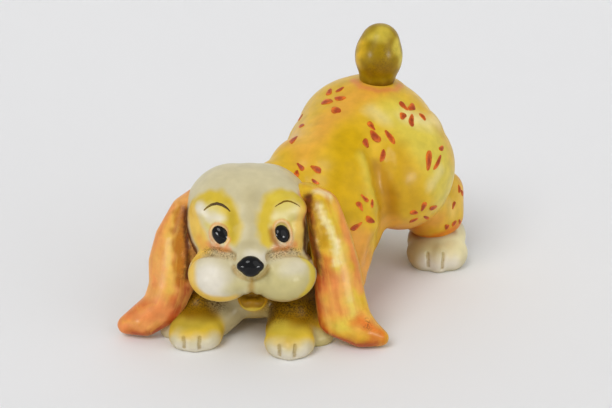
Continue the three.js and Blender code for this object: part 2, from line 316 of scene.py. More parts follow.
def mark(piece: Thing, vertices: np.ndarray | None = None, faces: np.ndarray | None = None) -> None:
    """Selects vertices or faces by a list of yes and no.

    Args:
        piece: The object, in object mode.
        vertices: Yes or no for each vertex.
        faces: Yes or no for each face.
    """
    mesh = piece.data
    for layer, chosen in ((mesh.vertices, vertices), (mesh.edges, None), (mesh.polygons, faces)):
        layer.foreach_set("select", np.zeros(len(layer), bool) if chosen is None else chosen)


def join(pieces: Sequence[Thing], name: str) -> Thing:
    """Joins objects to one whose place is in its mesh.

    Args:
        pieces: The objects.
        name: Name of the result.

    Returns:
        The joined object.
    """
    pick_only(*pieces)
    bpy.ops.object.join()
    bpy.ops.object.transform_apply(location=True, rotation=True, scale=True)
    joined = bpy.context.object
    joined.name = name
    joined.data.name = name
    return joined


@dataclass
class Bench:
    """Where the figurine stands: the shift from its own places to the solids' frame, in metres."""

    shift: Vector

    def at(self, place: Point) -> Vector:
        """A place on the figurine, in the solids' frame."""
        return self.shift + Vector(place) * MM

    def back(self, point: Vector) -> Point:
        """A point of the solids' frame, as a place on the figurine."""
        return tuple((point - self.shift) / MM)

    def points(self, piece: Thing) -> np.ndarray:
        """The vertices of an object in mm, one row each."""
        return (rows_of(piece.data.vertices, "co").astype(float) - np.array(self.shift)) / MM

    def middles(self, piece: Thing) -> np.ndarray:
        """The middles of an object's faces in mm, one row each."""
        return (rows_of(piece.data.polygons, "center").astype(float) - np.array(self.shift)) / MM

    def snap(self, skin: Thing, place: Point) -> tuple[Vector, Vector]:
        """The skin nearest to a place: the point in the solids' frame, and the normal there."""
        _, point, normal, _ = skin.closest_point_on_mesh(self.at(place))
        return point, normal

    def trace(self, skin: Thing, path: Path) -> list[Point]:
        """A line in mm laid on the skin, each sample at the skin's nearest point."""
        return [self.back(self.snap(skin, tuple(place))[0]) for place in samples(path, TRACE_STEP)]

    def score(self, piece: Thing, path: Path, depth: float, reach: float, cuts: int = 0) -> list[Point]:
        """Presses a line into the skin with a round tool.

        Args:
            piece: The object.
            path: Corners of the line in mm, near the skin; one corner makes a dent.
            depth: How deep in mm; below zero the line is raised.
            reach: How far the skin gives way on each side, in mm.
            cuts: How often each edge is cut first, so that a narrow line comes out clean.

        Returns:
            The line as it lay on the skin before it was pressed in, in mm.
        """
        line = self.trace(piece, path)
        if cuts:
            mark(piece, faces=distance_to_path(self.middles(piece), line) < FINE_REACH * reach)
            with edit_mode(piece, "FACE"):
                bpy.ops.mesh.subdivide(number_cuts=cuts, smoothness=0)
        points = self.points(piece)
        chosen = np.zeros(len(points), bool)
        for place in samples(line, PRESS_STEP):
            chosen[np.argmin(((points - place) ** 2).sum(1))] = True
        mark(piece, vertices=chosen)
        with edit_mode(piece):
            bpy.ops.transform.shrink_fatten(
                value=-depth * MM, use_proportional_edit=True, proportional_edit_falloff="SMOOTH",
                proportional_size=reach * MM,
            )
        return line

    def cut_below(self, piece: Thing, height: float = 0.0) -> None:
        """Cuts off what is below a height over the table, and closes the cut.

        Args:
            piece: The object.
            height: The height in mm.
        """
        with edit_mode(piece):
            bpy.ops.mesh.select_all(action="SELECT")
            bpy.ops.mesh.bisect(
                plane_co=self.at((0, 0, height)), plane_no=UP, use_fill=True, clear_inner=True,
                threshold=CUT_SLACK,
            )


@dataclass(frozen=True)
class Ball:
    """One ball of clay: its middle and half sizes in mm, its turn and the piece it belongs to."""

    place: Point
    half: Point
    turn: Quaternion
    owner: str

    def distance(self, points: np.ndarray) -> np.ndarray:
        """Measures about how far points are outside the ball.

        Args:
            points: One row per point, in mm.

        Returns:
            One distance per point in mm, below zero inside.
        """
        axes = np.array(self.turn.to_matrix())
        near = (points - np.array(self.place)) @ axes / np.array(self.half)
        steep = np.maximum(np.linalg.norm(near / np.array(self.half), axis=1), 1e-6)
        size = np.linalg.norm(near, axis=1)
        return size * (size - 1) / steep


@dataclass
class Clay:
    """Balls of clay that are pressed together, fused to one skin and smoothed.

    The owner is the piece that the next balls belong to.
    """

    bench: Bench
    owner: str = ""
    balls: list[Ball] = field(default_factory=list)

    def ball(self, place: Point, half: Point, yaw: float = 0.0, turn: Quaternion | None = None) -> None:
        """Adds one ball.

        Args:
            place: Its middle in mm.
            half: Its half sizes in mm.
            yaw: Turn about the upright in degrees.
            turn: A free turn, in place of yaw.
        """
        self.balls.append(Ball(place, half, turn or Quaternion(UP, math.radians(yaw)), self.owner))

    def pile(self, *lumps: tuple[Point, Point]) -> None:
        """Adds balls without a turn, each by its middle and half sizes in mm."""
        for place, half in lumps:
            self.ball(place, half)

    def roll(self, path: Path, halves: Path, yaw: float = 0.0, facings: Path | None = None) -> None:
        """Adds a roll of clay: balls that change from one station to the next.

        Args:
            path: Middles of the stations in mm.
            halves: Half sizes at the stations in mm: across, through and along.
            yaw: Turn about the upright in degrees.
            facings: Directions that the flat of the roll faces at the stations.
        """
        for i, (a, b) in enumerate(zip(path, path[1:])):
            gap = (Vector(b) - Vector(a)).length
            count = max(2, math.ceil(gap / (ROLL_STEP * min(halves[i]))))
            for k in range(count + (i == len(path) - 2)):
                share = k / count
                place = Vector(a).lerp(Vector(b), share)
                half = Vector(halves[i]).lerp(Vector(halves[i + 1]), share)
                turn = None
                if facings:
                    facing = Vector(facings[i]).lerp(Vector(facings[i + 1]), share)
                    turn = facing.to_track_quat("Y", "Z")
                self.ball(tuple(place), tuple(half), yaw, turn)

    def fuse(self, name: str, grain: float, rounds: int) -> Thing:
        """Presses the balls together and smooths the joints.

        Args:
            name: Name of the skin.
            grain: Edge length of the skin in mm.
            rounds: How often the skin is smoothed.

        Returns:
            The closed skin.
        """
        lumps = []
        for ball in self.balls:
            bpy.ops.mesh.primitive_uv_sphere_add(
                segments=BALL_SEGMENTS, ring_count=BALL_SEGMENTS // 2, radius=1,
                location=self.bench.at(ball.place), rotation=ball.turn.to_euler(),
                scale=Vector(ball.half) * MM,
            )
            lumps.append(bpy.context.object)
        skin = join(lumps, name)
        modify(skin, "REMESH", mode="VOXEL", voxel_size=grain * MM)
        modify(skin, "SMOOTH", factor=0.5, iterations=rounds)
        bpy.ops.object.shade_smooth()
        return skin

    def owners(self, points: np.ndarray) -> np.ndarray:
        """Tells which piece's clay each point lies on.

        Args:
            points: One row per point, in mm.

        Returns:
            The owner's name for each point.
        """
        names = sorted({ball.owner for ball in self.balls})
        depth = np.full((len(names), len(points)), np.inf)
        for ball in self.balls:
            row = names.index(ball.owner)
            depth[row] = np.minimum(depth[row], ball.distance(points))
        return np.array(names)[depth.argmin(0)]


@dataclass(frozen=True)
class Pass:
    """One pass of the airbrush or the brush.

    Attributes:
        hue: The paint.
        path: Corners of the pass in mm; one corner is a spot.
        reach: Distance in mm at which the paint has faded out.
        cover: Share of the colour below that the paint hides at most.
        core: Share of the reach over which it hides that much.
        laid: The path already lies on the skin and is followed with a steady hand.
    """

    hue: Hue
    path: Path
    reach: float
    cover: float
    core: float = 0.0
    laid: bool = False


@dataclass
class Airbrush:
    """Colour sprayed over a base coat, one soft-edged pass after another."""

    base: Hue
    wander: float = 0.25
    passes: list[Pass] = field(default_factory=list)
    dirt: list[Pass] = field(default_factory=list)

    def spray(self, *passes: Pass, origin: Pair = (0, 0)) -> None:
        """Adds passes, whose paths count from this point of the table in mm."""
        self.passes.extend(replace(layer, path=moved(layer.path, *origin)) for layer in passes)

    def smudge(self, path: Path, reach: float, cover: float) -> None:
        """Adds a place where dirt has settled in the glaze."""
        self.dirt.append(Pass(Hue.SHADE, path, reach, cover))

    def cover(self, bench: Bench, piece: Thing) -> None:
        """Writes the colours and the dirt to the object's vertices.

        Args:
            bench: Where the figurine stands.
            piece: The object.
        """
        points = bench.points(piece)
        colour = np.tile(np.array(linear(self.base)), (len(points), 1))
        for seed, layer in enumerate(self.passes):
            line = layer.path if layer.laid else bench.trace(piece, layer.path)
            share = self._share(points, layer, line, seed)
            colour += share[:, None] * (np.array(linear(layer.hue)) - colour)
        dirt = np.zeros(len(points))
        for seed, layer in enumerate(self.dirt):
            dirt = np.maximum(dirt, self._share(points, layer, bench.trace(piece, layer.path), seed))
        mesh = piece.data
        paint = mesh.color_attributes.new(PAINT, "FLOAT_COLOR", "POINT")
        paint.data.foreach_set("color", colour.astype(np.float32).ravel())
        grime = mesh.attributes.new(GRIME, "FLOAT", "POINT")
        grime.data.foreach_set("value", dirt.astype(np.float32))

    def _share(self, points: np.ndarray, layer: Pass, line: Path, seed: int) -> np.ndarray:
        """How much of the surface a pass along this line hides at each point."""
        away = distance_to_path(points, line) / layer.reach
        if not layer.laid:
            away += self.wander * SWAY * drift(points, layer.reach * SWAY_LENGTH, seed)
        fade = np.clip((1 - away) / max(1 - layer.core, 1e-3), 0, 1)
        return layer.cover * fade * fade * (3 - 2 * fade)


# Finishes


def new_material(name: str) -> tuple[bpy.types.Material, Tree]:
    """An empty material and its nodes."""
    material = bpy.data.materials.new(name)
    material.use_nodes = True
    material.node_tree.nodes.clear()
    return material, material.node_tree


def add_node(
    tree: Tree, kind: str, values: dict[str | int, object] | None = None,
    links: dict[str | int, Socket] | None = None, **settings: object,
) -> bpy.types.Node:
    """Adds a shader node.

    Args:
        tree: The material's nodes.
        kind: The node's type, without the prefix that all shader nodes share.
        values: Numbers and colours for its inputs, by name, or by number where names repeat.
        links: Sockets that feed its inputs, in the same way.
        **settings: The node's own settings.

    Returns:
        The node.
    """
    node = tree.nodes.new("ShaderNode" + kind)
    for name, value in settings.items():
        setattr(node, name, value)
    for name, value in (values or {}).items():
        node.inputs[name].default_value = value
    for name, socket in (links or {}).items():
        tree.links.new(socket, node.inputs[name])
    return node


def noise(tree: Tree, place: Socket, size: float, detail: float) -> Socket:
    """A noise with features of this size in mm."""
    values = {"Scale": 1 / (size * MM), "Detail": detail}
    return add_node(tree, "TexNoise", values, {"Vector": place}).outputs["Fac"]


def stretch(tree: Tree, value: Socket, source: Pair = (0, 1), target: Pair = (0, 1)) -> Socket:
    """Stretches a value from one range to another."""
    ends = dict(zip(("From Min", "From Max", "To Min", "To Max"), (*source, *target)))
    return add_node(tree, "MapRange", ends, {"Value": value}).outputs["Result"]


def lay_over(tree: Tree, colour: Socket, hue: Hue, share: Socket) -> Socket:
    """Lays a share of a paint over a colour."""
    return add_node(tree, "Mix", {7: linear(hue)}, {0: share, 6: colour}, data_type="RGBA").outputs[2]


def surface(tree: Tree, values: dict[str, object], links: dict[str, Socket] | None = None) -> None:
    """Adds the shader that takes these values and sockets, and sends it out."""
    shader = add_node(tree, "BsdfPrincipled", values, links)
    add_node(tree, "OutputMaterial", links={"Surface": shader.outputs["BSDF"]})


@dataclass(frozen=True)
class PaintedGlaze:
    """Airbrushed slip under a satin glaze, fired: soft sheen, uneven pigment, dirt caught in the hollows.

    Sizes are in mm, and mottle, ripple and streaked are strengths.
    """

    name: str
    roughness: float = 0.32
    mottle: float = 0.10
    mottle_size: float = 3.2
    speck_size: float = 0.45
    ripple: float = 0.12
    ripple_size: float = 2.4
    ripple_depth: float = 0.4
    streaked: float = 0.0

    # The parts of a noise's range that tell thin from thick pigment and clean from dirty specks
    PIGMENT = (0.3, 0.7)
    SPECKS = (0.44, 0.62)
    # Worn places: their size as a share of the mottle's, and how much smoother and rougher they get
    WEAR_SIZE = 0.6
    WEAR = (-0.08, 0.1)
    # Each streak's paint, and where in the noise it starts and is strongest
    BRISTLES = ((Hue.RED_ORANGE, (0.5, 0.72)), (Hue.STRAW, (0.48, 0.3)))

    def material(self) -> bpy.types.Material:
        """Builds the material.

        Returns:
            The material, which reads the paint and grime of the object it is on.
        """
        material, tree = new_material(self.name)
        place = add_node(tree, "TexCoord").outputs["Object"]
        paint = add_node(tree, "VertexColor", layer_name=PAINT).outputs["Color"]
        grime = add_node(tree, "Attribute", attribute_name=GRIME).outputs["Fac"]
        pigment = noise(tree, place, self.mottle_size, 5)
        shade = stretch(tree, pigment, self.PIGMENT, (1 - self.mottle, 1 + self.mottle))
        toned = add_node(tree, "HueSaturation", links={"Color": paint, "Value": shade}).outputs["Color"]
        if self.streaked:
            toned = self._streaks(tree, toned)
        caught = stretch(tree, noise(tree, place, self.speck_size, 3), self.SPECKS)
        dirt = add_node(tree, "Math", links={0: grime, 1: caught}, operation="MULTIPLY")
        colour = lay_over(tree, toned, Hue.SHADE, dirt.outputs["Value"])
        wear = noise(tree, place, self.mottle_size * self.WEAR_SIZE, 4)
        rough = stretch(tree, wear, target=tuple(self.roughness + change for change in self.WEAR))
        waves = noise(tree, place, self.ripple_size, 2)
        relief = {"Strength": self.ripple, "Distance": self.ripple_depth * MM}
        bump = add_node(tree, "Bump", relief, {"Height": waves}).outputs["Normal"]
        surface(
            tree,
            {"IOR": 1.45, "Specular IOR Level": 0.15, "Coat Weight": 0.08, "Coat Roughness": 0.16},
            {"Base Color": colour, "Roughness": rough, "Normal": bump},
        )
        return material

    def _streaks(self, tree: Tree, toned: Socket) -> Socket:
        """Brush streaks that run along the piece, over its colour."""
        along = add_node(tree, "Attribute", attribute_name=STREAK).outputs["Vector"]
        bristle = add_node(tree, "TexNoise", {"Scale": 1, "Detail": 4}, {"Vector": along}).outputs["Fac"]
        for hue, edge in self.BRISTLES:
            toned = lay_over(tree, toned, hue, stretch(tree, bristle, edge, (0, self.streaked)))
        return toned


@dataclass(frozen=True)
class GlossEnamel:
    """Thick black enamel, poured on and fired: deep, wet and mirror smooth."""

    name: str
    roughness: float = 0.06
    smear: float = 0.06
    cloud_size: float = 1.6

    def material(self) -> bpy.types.Material:
        """Builds the material.

        Returns:
            The material.
        """
        material, tree = new_material(self.name)
        cloud = noise(tree, add_node(tree, "TexCoord").outputs["Object"], self.cloud_size, 3)
        tone = add_node(tree, "ValToRGB", links={"Fac": cloud})
        for stop, hue in zip(tone.color_ramp.elements, (Hue.BLACK, Hue.COAL)):
            stop.color = linear(hue)
        rough = stretch(tree, cloud, target=(self.roughness, self.roughness + self.smear))
        surface(tree, {"IOR": 1.34}, {"Base Color": tone.outputs["Color"], "Roughness": rough})
        return material


YELLOW_GLAZE = PaintedGlaze("yellow_airbrushed_glaze")
CREAM_GLAZE = PaintedGlaze("cream_airbrushed_glaze", mottle=0.06)
ORANGE_GLAZE = PaintedGlaze("orange_streaked_glaze", streaked=0.32, mottle=0.12)
OLIVE_GLAZE = PaintedGlaze("olive_scuffed_glaze", mottle=0.16, mottle_size=2.2)
OCHRE_GLAZE = PaintedGlaze("ochre_lip_glaze", roughness=0.46)
RUST_PAINT = PaintedGlaze("rust_brush_paint", roughness=0.42, mottle=0.3, mottle_size=1.2)
BLACK_ENAMEL = GlossEnamel("black_gloss_enamel")
BROW_PAINT = PaintedGlaze("umber_brow_paint", roughness=0.4, mottle=0.2)


def hand_over(piece: Thing, finish: PaintedGlaze | GlossEnamel, slot: str, *nodes: str) -> None:
    """Finishes a piece and ties it to the solids.

    Args:
        piece: The object.
        finish: Its finish.
        slot: The record's material slot; not used.
        *nodes: The solids that it stands for.
    """
    material = bpy.data.materials.get(finish.name) or finish.material()
    piece.data.materials.clear()
    piece.data.materials.append(material)
    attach(piece, ROOT)
    if nodes:
        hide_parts(*nodes)
    LOG.info("%s: %d faces, %s", piece.name, len(piece.data.polygons), finish.name)


# The figurine's parts


@dataclass
class Body:
    """Torso and legs, modelled in one skin and then parted where the castings meet.

    Tail root and hock count along the body's own line, to the left and to the rear of the chest. The folds
    are lines with their depth and reach. The passes of the tail ring, the cuffs and the paws count from the
    point under the tail, the hock and the paw.
    """

    bench: Bench
    yaw: float = 32.0
    chest: Point = (16.9, 16, 20.1)
    chest_half: Point = (20, 18.5, 16.3)
    grain: float = 0.6
    rounds: int = 24
    skin: Thing | None = None
    toe_lines: list[Path] = field(default_factory=list)

    TAIL_ROOT = (2.1, 32)
    HOCK = (16.8, 44.2)
    FORE_PAWS = {Side.LEFT: (10, -13), Side.RIGHT: (-15.7, -8.4)}
    PAW_HALVES = {Side.LEFT: 6.9, Side.RIGHT: 7.9}
    ELBOWS = {Side.LEFT: (21, 9, 9), Side.RIGHT: (-6.1, 14, 9)}
    FOLDS = (
        ([(34, 17, 44), (36, 13, 36.5), (38.2, 13.1, 28.3)], 1.2, 6),
        ([(29.6, 15, 44), (31.6, 11.6, 37), (33.6, 10.4, 31.5)], -0.6, 3.2),
        ([(38, 13, 21), (36, 12, 14)], 2.2, 8),
        ([(34, 6, 20.4), (32.8, 5, 18)], 1.8, 5.5),
    )
    TOE_LINE = [(0, 0.4, 1.3), (0, 0, 3), (0, 1.2, 4.8)]
    COATS = (
        Pass(Hue.AMBER, [(30, 36, 57), (20, 24, 51), (14, 17, 47), (11, 27, 45)], 9, 0.6),
        Pass(Hue.STRAW, [(13, 30, 47), (14, 20, 47)], 6, 0.45),
        Pass(Hue.AMBER, [(33, 33, 56), (38, 34, 57)], 5, 0.45),
        Pass(Hue.GOLD, [(27, 19, 49), (26, 12, 43), (25, 8, 38), (27, 5, 32)], 8.5, 0.95, 0.2),
        Pass(Hue.LEMON, [(40, 28, 53), (48, 25, 46), (53, 24, 37), (54, 27, 30)], 11, 0.95, 0.2),
        Pass(Hue.OCHRE, [(41, 18, 45), (42, 16, 38), (45, 16, 30)], 6, 0.45),
        # Painted highlights: the next two pale passes lay a sheen on the upper haunch
        Pass(Hue.PALE, [(52, 34, 48), (50, 30, 50), (44, 29, 52)], 5, 0.5),
        Pass(Hue.PALE, [(51, 24, 37), (49, 20, 34)], 3.2, 0.35),
        Pass(Hue.PALE, [(37, 26, 52), (33, 28, 54)], 4, 0.35),
        # Painted highlight: lemon along the raised ridge in front of the fold
        Pass(Hue.LEMON, [(29.6, 15, 44), (31.6, 11.6, 37), (33.6, 10.4, 31)], 3, 0.6),
        # Painted shade: tan, and ginger below it, darken the valley between flank and haunch down to the
        # belly
        Pass(
            Hue.TAN, [(34.7, 16.8, 40.2), (36.7, 15.8, 35.5), (38.2, 15.6, 32.5), (38.8, 16, 28)], 5.6, 0.55
        ),
        Pass(Hue.GINGER, [(34.5, 13.5, 31), (36.5, 14.5, 26)], 6, 0.4),
        Pass(Hue.AMBER, [(31, 3, 24), (27, 0, 25), (33, 5, 16)], 7, 0.85),
        Pass(Hue.AMBER, [(28, 1, 18), (33, 6, 11), (24, 6, 6)], 8, 0.85),
        Pass(Hue.AMBER, [(38, 16, 23), (48, 24, 19), (55, 33, 17)], 5.5, 0.6),
        # Straw paint on the heel, made lighter as painted light where the heel faces the right
        Pass(Hue.STRAW, [(58, 38, 19), (61, 43, 20), (60, 41, 26)], 6, 0.95),
        Pass(Hue.SALMON, [(62, 45, 26), (63, 46, 16)], 3, 0.6),
        Pass(Hue.RED_ORANGE, [(28, 14, 4), (40, 28, 15), (46, 36, 18)], 12, 0.9),
    )
    TAIL_RING = Pass(
        Hue.SALMON, [(-7.4, 0, 58), (-5.2, -5.2, 58), (0, -7.4, 58), (5.2, -5.2, 58), (7.4, 0, 58)], 1.9, 0.75
    )
    CUFF = Pass(
        Hue.RIM, [(-9, -1, 9.6), (-6, -4.4, 10.2), (-1, -7, 11.6), (4, -6, 12.4), (7.5, -2, 12.2)], 2.8, 0.85
    )
    PAW_COATS = (
        # Olive paint up the forearm, darkened as painted shade under the chin
        Pass(Hue.MOSS, [(3, 10, 11), (0, 1, 10)], 11, 0.95, 0.6),
        Pass(Hue.LEMON, [(-6, -4, 5), (-3, -6.8, 6.4), (3, -6.8, 6.4), (6, -4, 5)], 5, 0.55),
        Pass(Hue.CREAM, [(-5, -9, 1.5), (0, -10, 1.5), (5, -9, 1.5)], 5.6, 1, 0.3),
        Pass(Hue.WHITE, [(-4, -9, 1.8), (4, -9, 1.8)], 3.2, 0.7),
    )
    PAW_DIRT = [(-5, 2, 9), (4, 2, 10), (6, 6, 10)]
    FRONT_COATS = (
        # Olive paint on the top of the dog's right paw, darkened as painted shade under the head
        Pass(Hue.MOSS, [(-19, -9, 9), (-12, -10.5, 8)], 4.5, 0.6),
        Pass(Hue.LEMON, [(5.5, -17, 7.5), (8, -18, 8)], 4, 0.5),
        Pass(Hue.SAND, [(-8, -5, 7), (-2, -7, 5), (4, -7, 6)], 6, 0.7),
        Pass(Hue.SAND, [(-6, -7, 7), (-6.5, -9, 2)], 5, 0.95, 0.5),
        Pass(Hue.BUTTER, [(18, -15, 1), (21, -10, 1.5)], 5, 0.95, 0.6),
        Pass(Hue.CREAM, [(-26, -8, 1), (-22, -10, 1)], 4.4, 0.95, 0.6),
    )

    def place(self, left: float, back: float, up: float) -> Point:
        """A place on the body's own line, from the chest: to the left, to the rear, and up from the table."""
        turn = math.radians(self.yaw)
        return (
            self.chest[0] + left * math.cos(turn) + back * math.sin(turn),
            self.chest[1] - left * math.sin(turn) + back * math.cos(turn),
            up,
        )

    def tail_root(self) -> Pair:
        """The point of the table under the tail."""
        return self.place(*self.TAIL_ROOT, 0)[:2]

    def hock(self, side: Side) -> Pair:
        """The point of the table under one hock."""
        left, back = self.HOCK
        return self.place(side.value * left, back, 0)[:2]

    def build(self) -> None:
        """Models the skin, paints it and parts it into the castings."""
        clay = Clay(self.bench)
        self._torso(clay)
        for side in Side:
            self._hind_leg(clay, side)
            self._foreleg(clay, side)
        self.skin = clay.fuse("body_skin", self.grain, self.rounds)
        self._model(self.skin)
        self.bench.cut_below(self.skin)
        self._paint(self.skin)
        self._part(clay)

    def _torso(self, clay: Clay) -> None:
        """Chest, loin and rump, the brisket under the head, the withers and the mound under the tail."""
        clay.owner = "torso"
        stations = [self.chest, self.place(0, 11.5, 32), self.place(-0.8, 31, 40.5)]
        clay.roll(stations, [self.chest_half, (17.4, 18.5, 18.4), (21.8, 19.4, 18.4)], -self.yaw)
        clay.pile(
            ((0, 2.4, 10.6), (14, 11, 9)),
            ((8.6, 17, 30.2), (12.4, 12, 12.6)),
            ((15.4, 23.2, 35), (12.6, 12.6, 12.6)),
            (self.place(-0.5, 32, 55.4), (10.4, 10, 3.6)),
        )

    def _hind_leg(self, clay: Clay, side: Side) -> None:
        """Haunch, shank and heel."""
        clay.owner = f"{side.word}_hind_leg"
        s = side.value
        if side is Side.LEFT:
            clay.ball(self.place(14.3, 27.4, 33.2), (13.4, 18.8, 16.8), -self.yaw)
            clay.ball((45.2, 36.2, 42.4), (10, 10, 10))
        else:
            clay.ball(self.place(-13, 30.5, 32), (13.6, 16, 16.4), -self.yaw)
        shank = [self.place(s * 13.8, 33.5, 24.5), self.place(s * 16.2, 43.6, 13.2)]
        heel = [self.place(s * 17.6, 46, 22.2), self.place(s * 17.4, 45.5, 14.5)]
        clay.roll(shank, [(9.4, 9.4, 9.6), (8.3, 8.3, 6.6)])
        clay.roll(heel, [(6.4, 6.4, 6.4), (7.2, 7.2, 6)])

    def _foreleg(self, clay: Clay, side: Side) -> None:
        """Forearm and paw with three toes, and the clay that is left beside the paw."""
        clay.owner = f"{side.word}_foreleg"
        x, y = self.FORE_PAWS[side]
        half = self.PAW_HALVES[side]
        clay.ball((x, y + 1, 3.4), (half, 8.6, 6.2))
        clay.roll([(x + 1, y + 5, 5.6), self.ELBOWS[side]], [(7.2, 7.2, 7.4), (7.9, 7.9, 7.9)])
        for s in (-1, 1):
            clay.ball((x + 0.26 * half * s, y - 4.4, 2.8), (0.7 * half, 6, 4.2))
        if side is Side.LEFT:
            clay.pile(((25.4, 6, 11.6), (6.2, 6.4, 6.2)), ((17.4, -10.4, 1.6), (5, 4.8, 3.6)))
        else:
            clay.roll([(-11, -7.4, 4), (-7, -4.6, 6)], [(5, 5, 5), (4.6, 4.6, 4.6)])
            clay.ball((-21.8, -6.4, 1.4), (4.6, 4.2, 3.4))
        for step in (-1, 0, 1):
            clay.ball((x + 0.57 * half * step, y - 7.2 + 2.8 * abs(step), 2.9), (3.1, 4.1, 3.8))

    def _model(self, skin: Thing) -> None:
        """Scores the folds in front of the haunch and the toes."""
        for path, depth, reach in self.FOLDS:
            self.bench.score(skin, path, depth, reach)
        for x, y in self.FORE_PAWS.values():
            for aside in (-3.1, 1.6):
                line = moved(self.TOE_LINE, x + aside, y - 11.2)
                self.toe_lines.append(self.bench.score(skin, line, 0.5, 0.9, 2))

    def _paint(self, skin: Thing) -> None:
        """Sprays the yellow body, the ring under the tail, the cuffs of the hocks and the cream paws; some
        passes are painted highlights and painted shade.
        """
        brush = Airbrush(Hue.YELLOW)
        brush.spray(*self.COATS)
        brush.spray(self.TAIL_RING, origin=self.tail_root())
        for side in (Side.RIGHT, Side.LEFT):
            brush.spray(self.CUFF, origin=self.hock(side))
        for paw in self.FORE_PAWS.values():
            brush.spray(*self.PAW_COATS, origin=paw)
            brush.smudge(moved(self.PAW_DIRT, *paw), 6.5, 0.9)
        brush.spray(*self.FRONT_COATS)
        brush.spray(*(Pass(Hue.OLIVE, line, 0.7, 0.95, 0.4, laid=True) for line in self.toe_lines))
        brush.cover(self.bench, skin)

    def _part(self, clay: Clay) -> None:
        """Parts the legs from the torso along the seams between their clay, and closes each casting."""
        torso = self.skin.copy()
        torso.data = self.skin.data.copy()
        torso.name = "torso"
        bpy.context.collection.objects.link(torso)
        normals = rows_of(torso.data.vertices, "normal")
        keep = torso.data.attributes.new(SKIN_NORMAL, "FLOAT_VECTOR", "POINT")
        keep.data.foreach_set("vector", normals.ravel())
        pieces = {"torso": torso}
        for side in Side:
            for leg in ("hind_leg", "foreleg"):
                name = f"{side.word}_{leg}"
                mark(torso, faces=clay.owners(self.bench.middles(torso)) == name)
                with edit_mode(torso, "FACE"):
                    bpy.ops.mesh.separate(type="SELECTED")
                pieces[name] = next(o for o in bpy.context.selected_objects if o is not torso)
                pieces[name].name = name
        for name, piece in pieces.items():
            self._close(piece)
            if "fore" in name:
                hand_over(piece, CREAM_GLAZE, "cream_glaze", name)
            else:
                hand_over(piece, YELLOW_GLAZE, "yellow_glaze", name)

    @staticmethod
    def _close(piece: Thing) -> None:
        """Closes the open seams of a casting and keeps the shading of the whole skin."""
        with edit_mode(piece, "EDGE"):
            bpy.ops.mesh.select_all(action="DESELECT")
            bpy.ops.mesh.select_non_manifold(
                extend=False, use_wire=False, use_multi_face=False, use_non_contiguous=False, use_verts=False
            )
            bpy.ops.mesh.fill_holes(sides=0)
            bpy.ops.mesh.select_mode(type="FACE")
            bpy.ops.mesh.select_face_by_sides(number=LID_SIDES, type="GREATER", extend=False)
            bpy.ops.mesh.poke()
        mesh = piece.data
        kept = rows_of(mesh.attributes[SKIN_NORMAL].data, "vector")
        missing = np.linalg.norm(kept, axis=1) < 0.5
        kept[missing] = rows_of(mesh.vertices, "normal")[missing]
        mesh.normals_split_custom_set_from_vertices(kept)
        mesh.attributes.remove(mesh.attributes[SKIN_NORMAL])


@dataclass
class HindPaw:
    """One hind paw, under the hock; its lines and passes count from the point under the hock."""

    bench: Bench
    body: Body
    side: Side
    half: Point = (8.9, 9.4, 8)
    lift: float = 5.8

    TOE_LINE = [(0, -12, 7), (0, -13.8, 4.5), (0, -13.8, 1.6)]
    COATS = (
        Pass(Hue.BUTTER, [(-5, -8, 6), (2, -10, 7)], 6, 0.6),
        # Painted light: pale cream on the side of the paw that faces the right
        Pass(Hue.PALE, [(4, -9, 7), (8, -4, 6)], 6.5, 0.9),
        Pass(Hue.WHITE, [(-4, -12, 3), (4, -12, 3)], 5, 0.8),
        # Painted shadow: ochre on the left side of the paw, under the body
        Pass(Hue.OCHRE, [(-8.5, -3, 6), (-8, -7, 3)], 7, 0.6),
        Pass(Hue.TAN, [(-9, -1, 9.4), (-6, -4.4, 10), (-1, -7, 11.4), (5, -6, 12)], 2.6, 0.9),
    )

    def build(self) -> None:
        """Models, paints and hands over the paw."""
        x, y = self.body.hock(self.side)
        clay = Clay(self.bench)
        clay.ball((x, y + 0.2, self.lift), self.half)
        clay.ball((x + 1.8 * self.side.value, y + 0.4, 7.6), (7.4, 8.4, 6.8))
        for s in (-1, 1):
            clay.ball((x + 3.2 * s, y - 4.8, 4), (6.2, 7.2, 5.6))
        for step in (-1, 0, 1):
            clay.ball((x + 5 * step, y - 8.6 + 3.4 * abs(step), 3.8), (3.7, 4.6, 4.8))
        name = f"{self.side.word}_hind_paw"
        paw = clay.fuse(name, 0.5, 14)
        gaps = [moved(self.TOE_LINE, x + aside, y) for aside in (-3.6, 1.4)]
        lines = [self.bench.score(paw, gap, 0.5, 0.9, 2) for gap in gaps]
        self.bench.cut_below(paw)
        brush = Airbrush(Hue.CREAM)
        brush.spray(*self.COATS, origin=(x, y))
        brush.spray(*(Pass(Hue.OLIVE, line, 0.7, 0.9, 0.4, laid=True) for line in lines))
        brush.cover(self.bench, paw)
        hand_over(paw, CREAM_GLAZE, "cream_glaze", name)


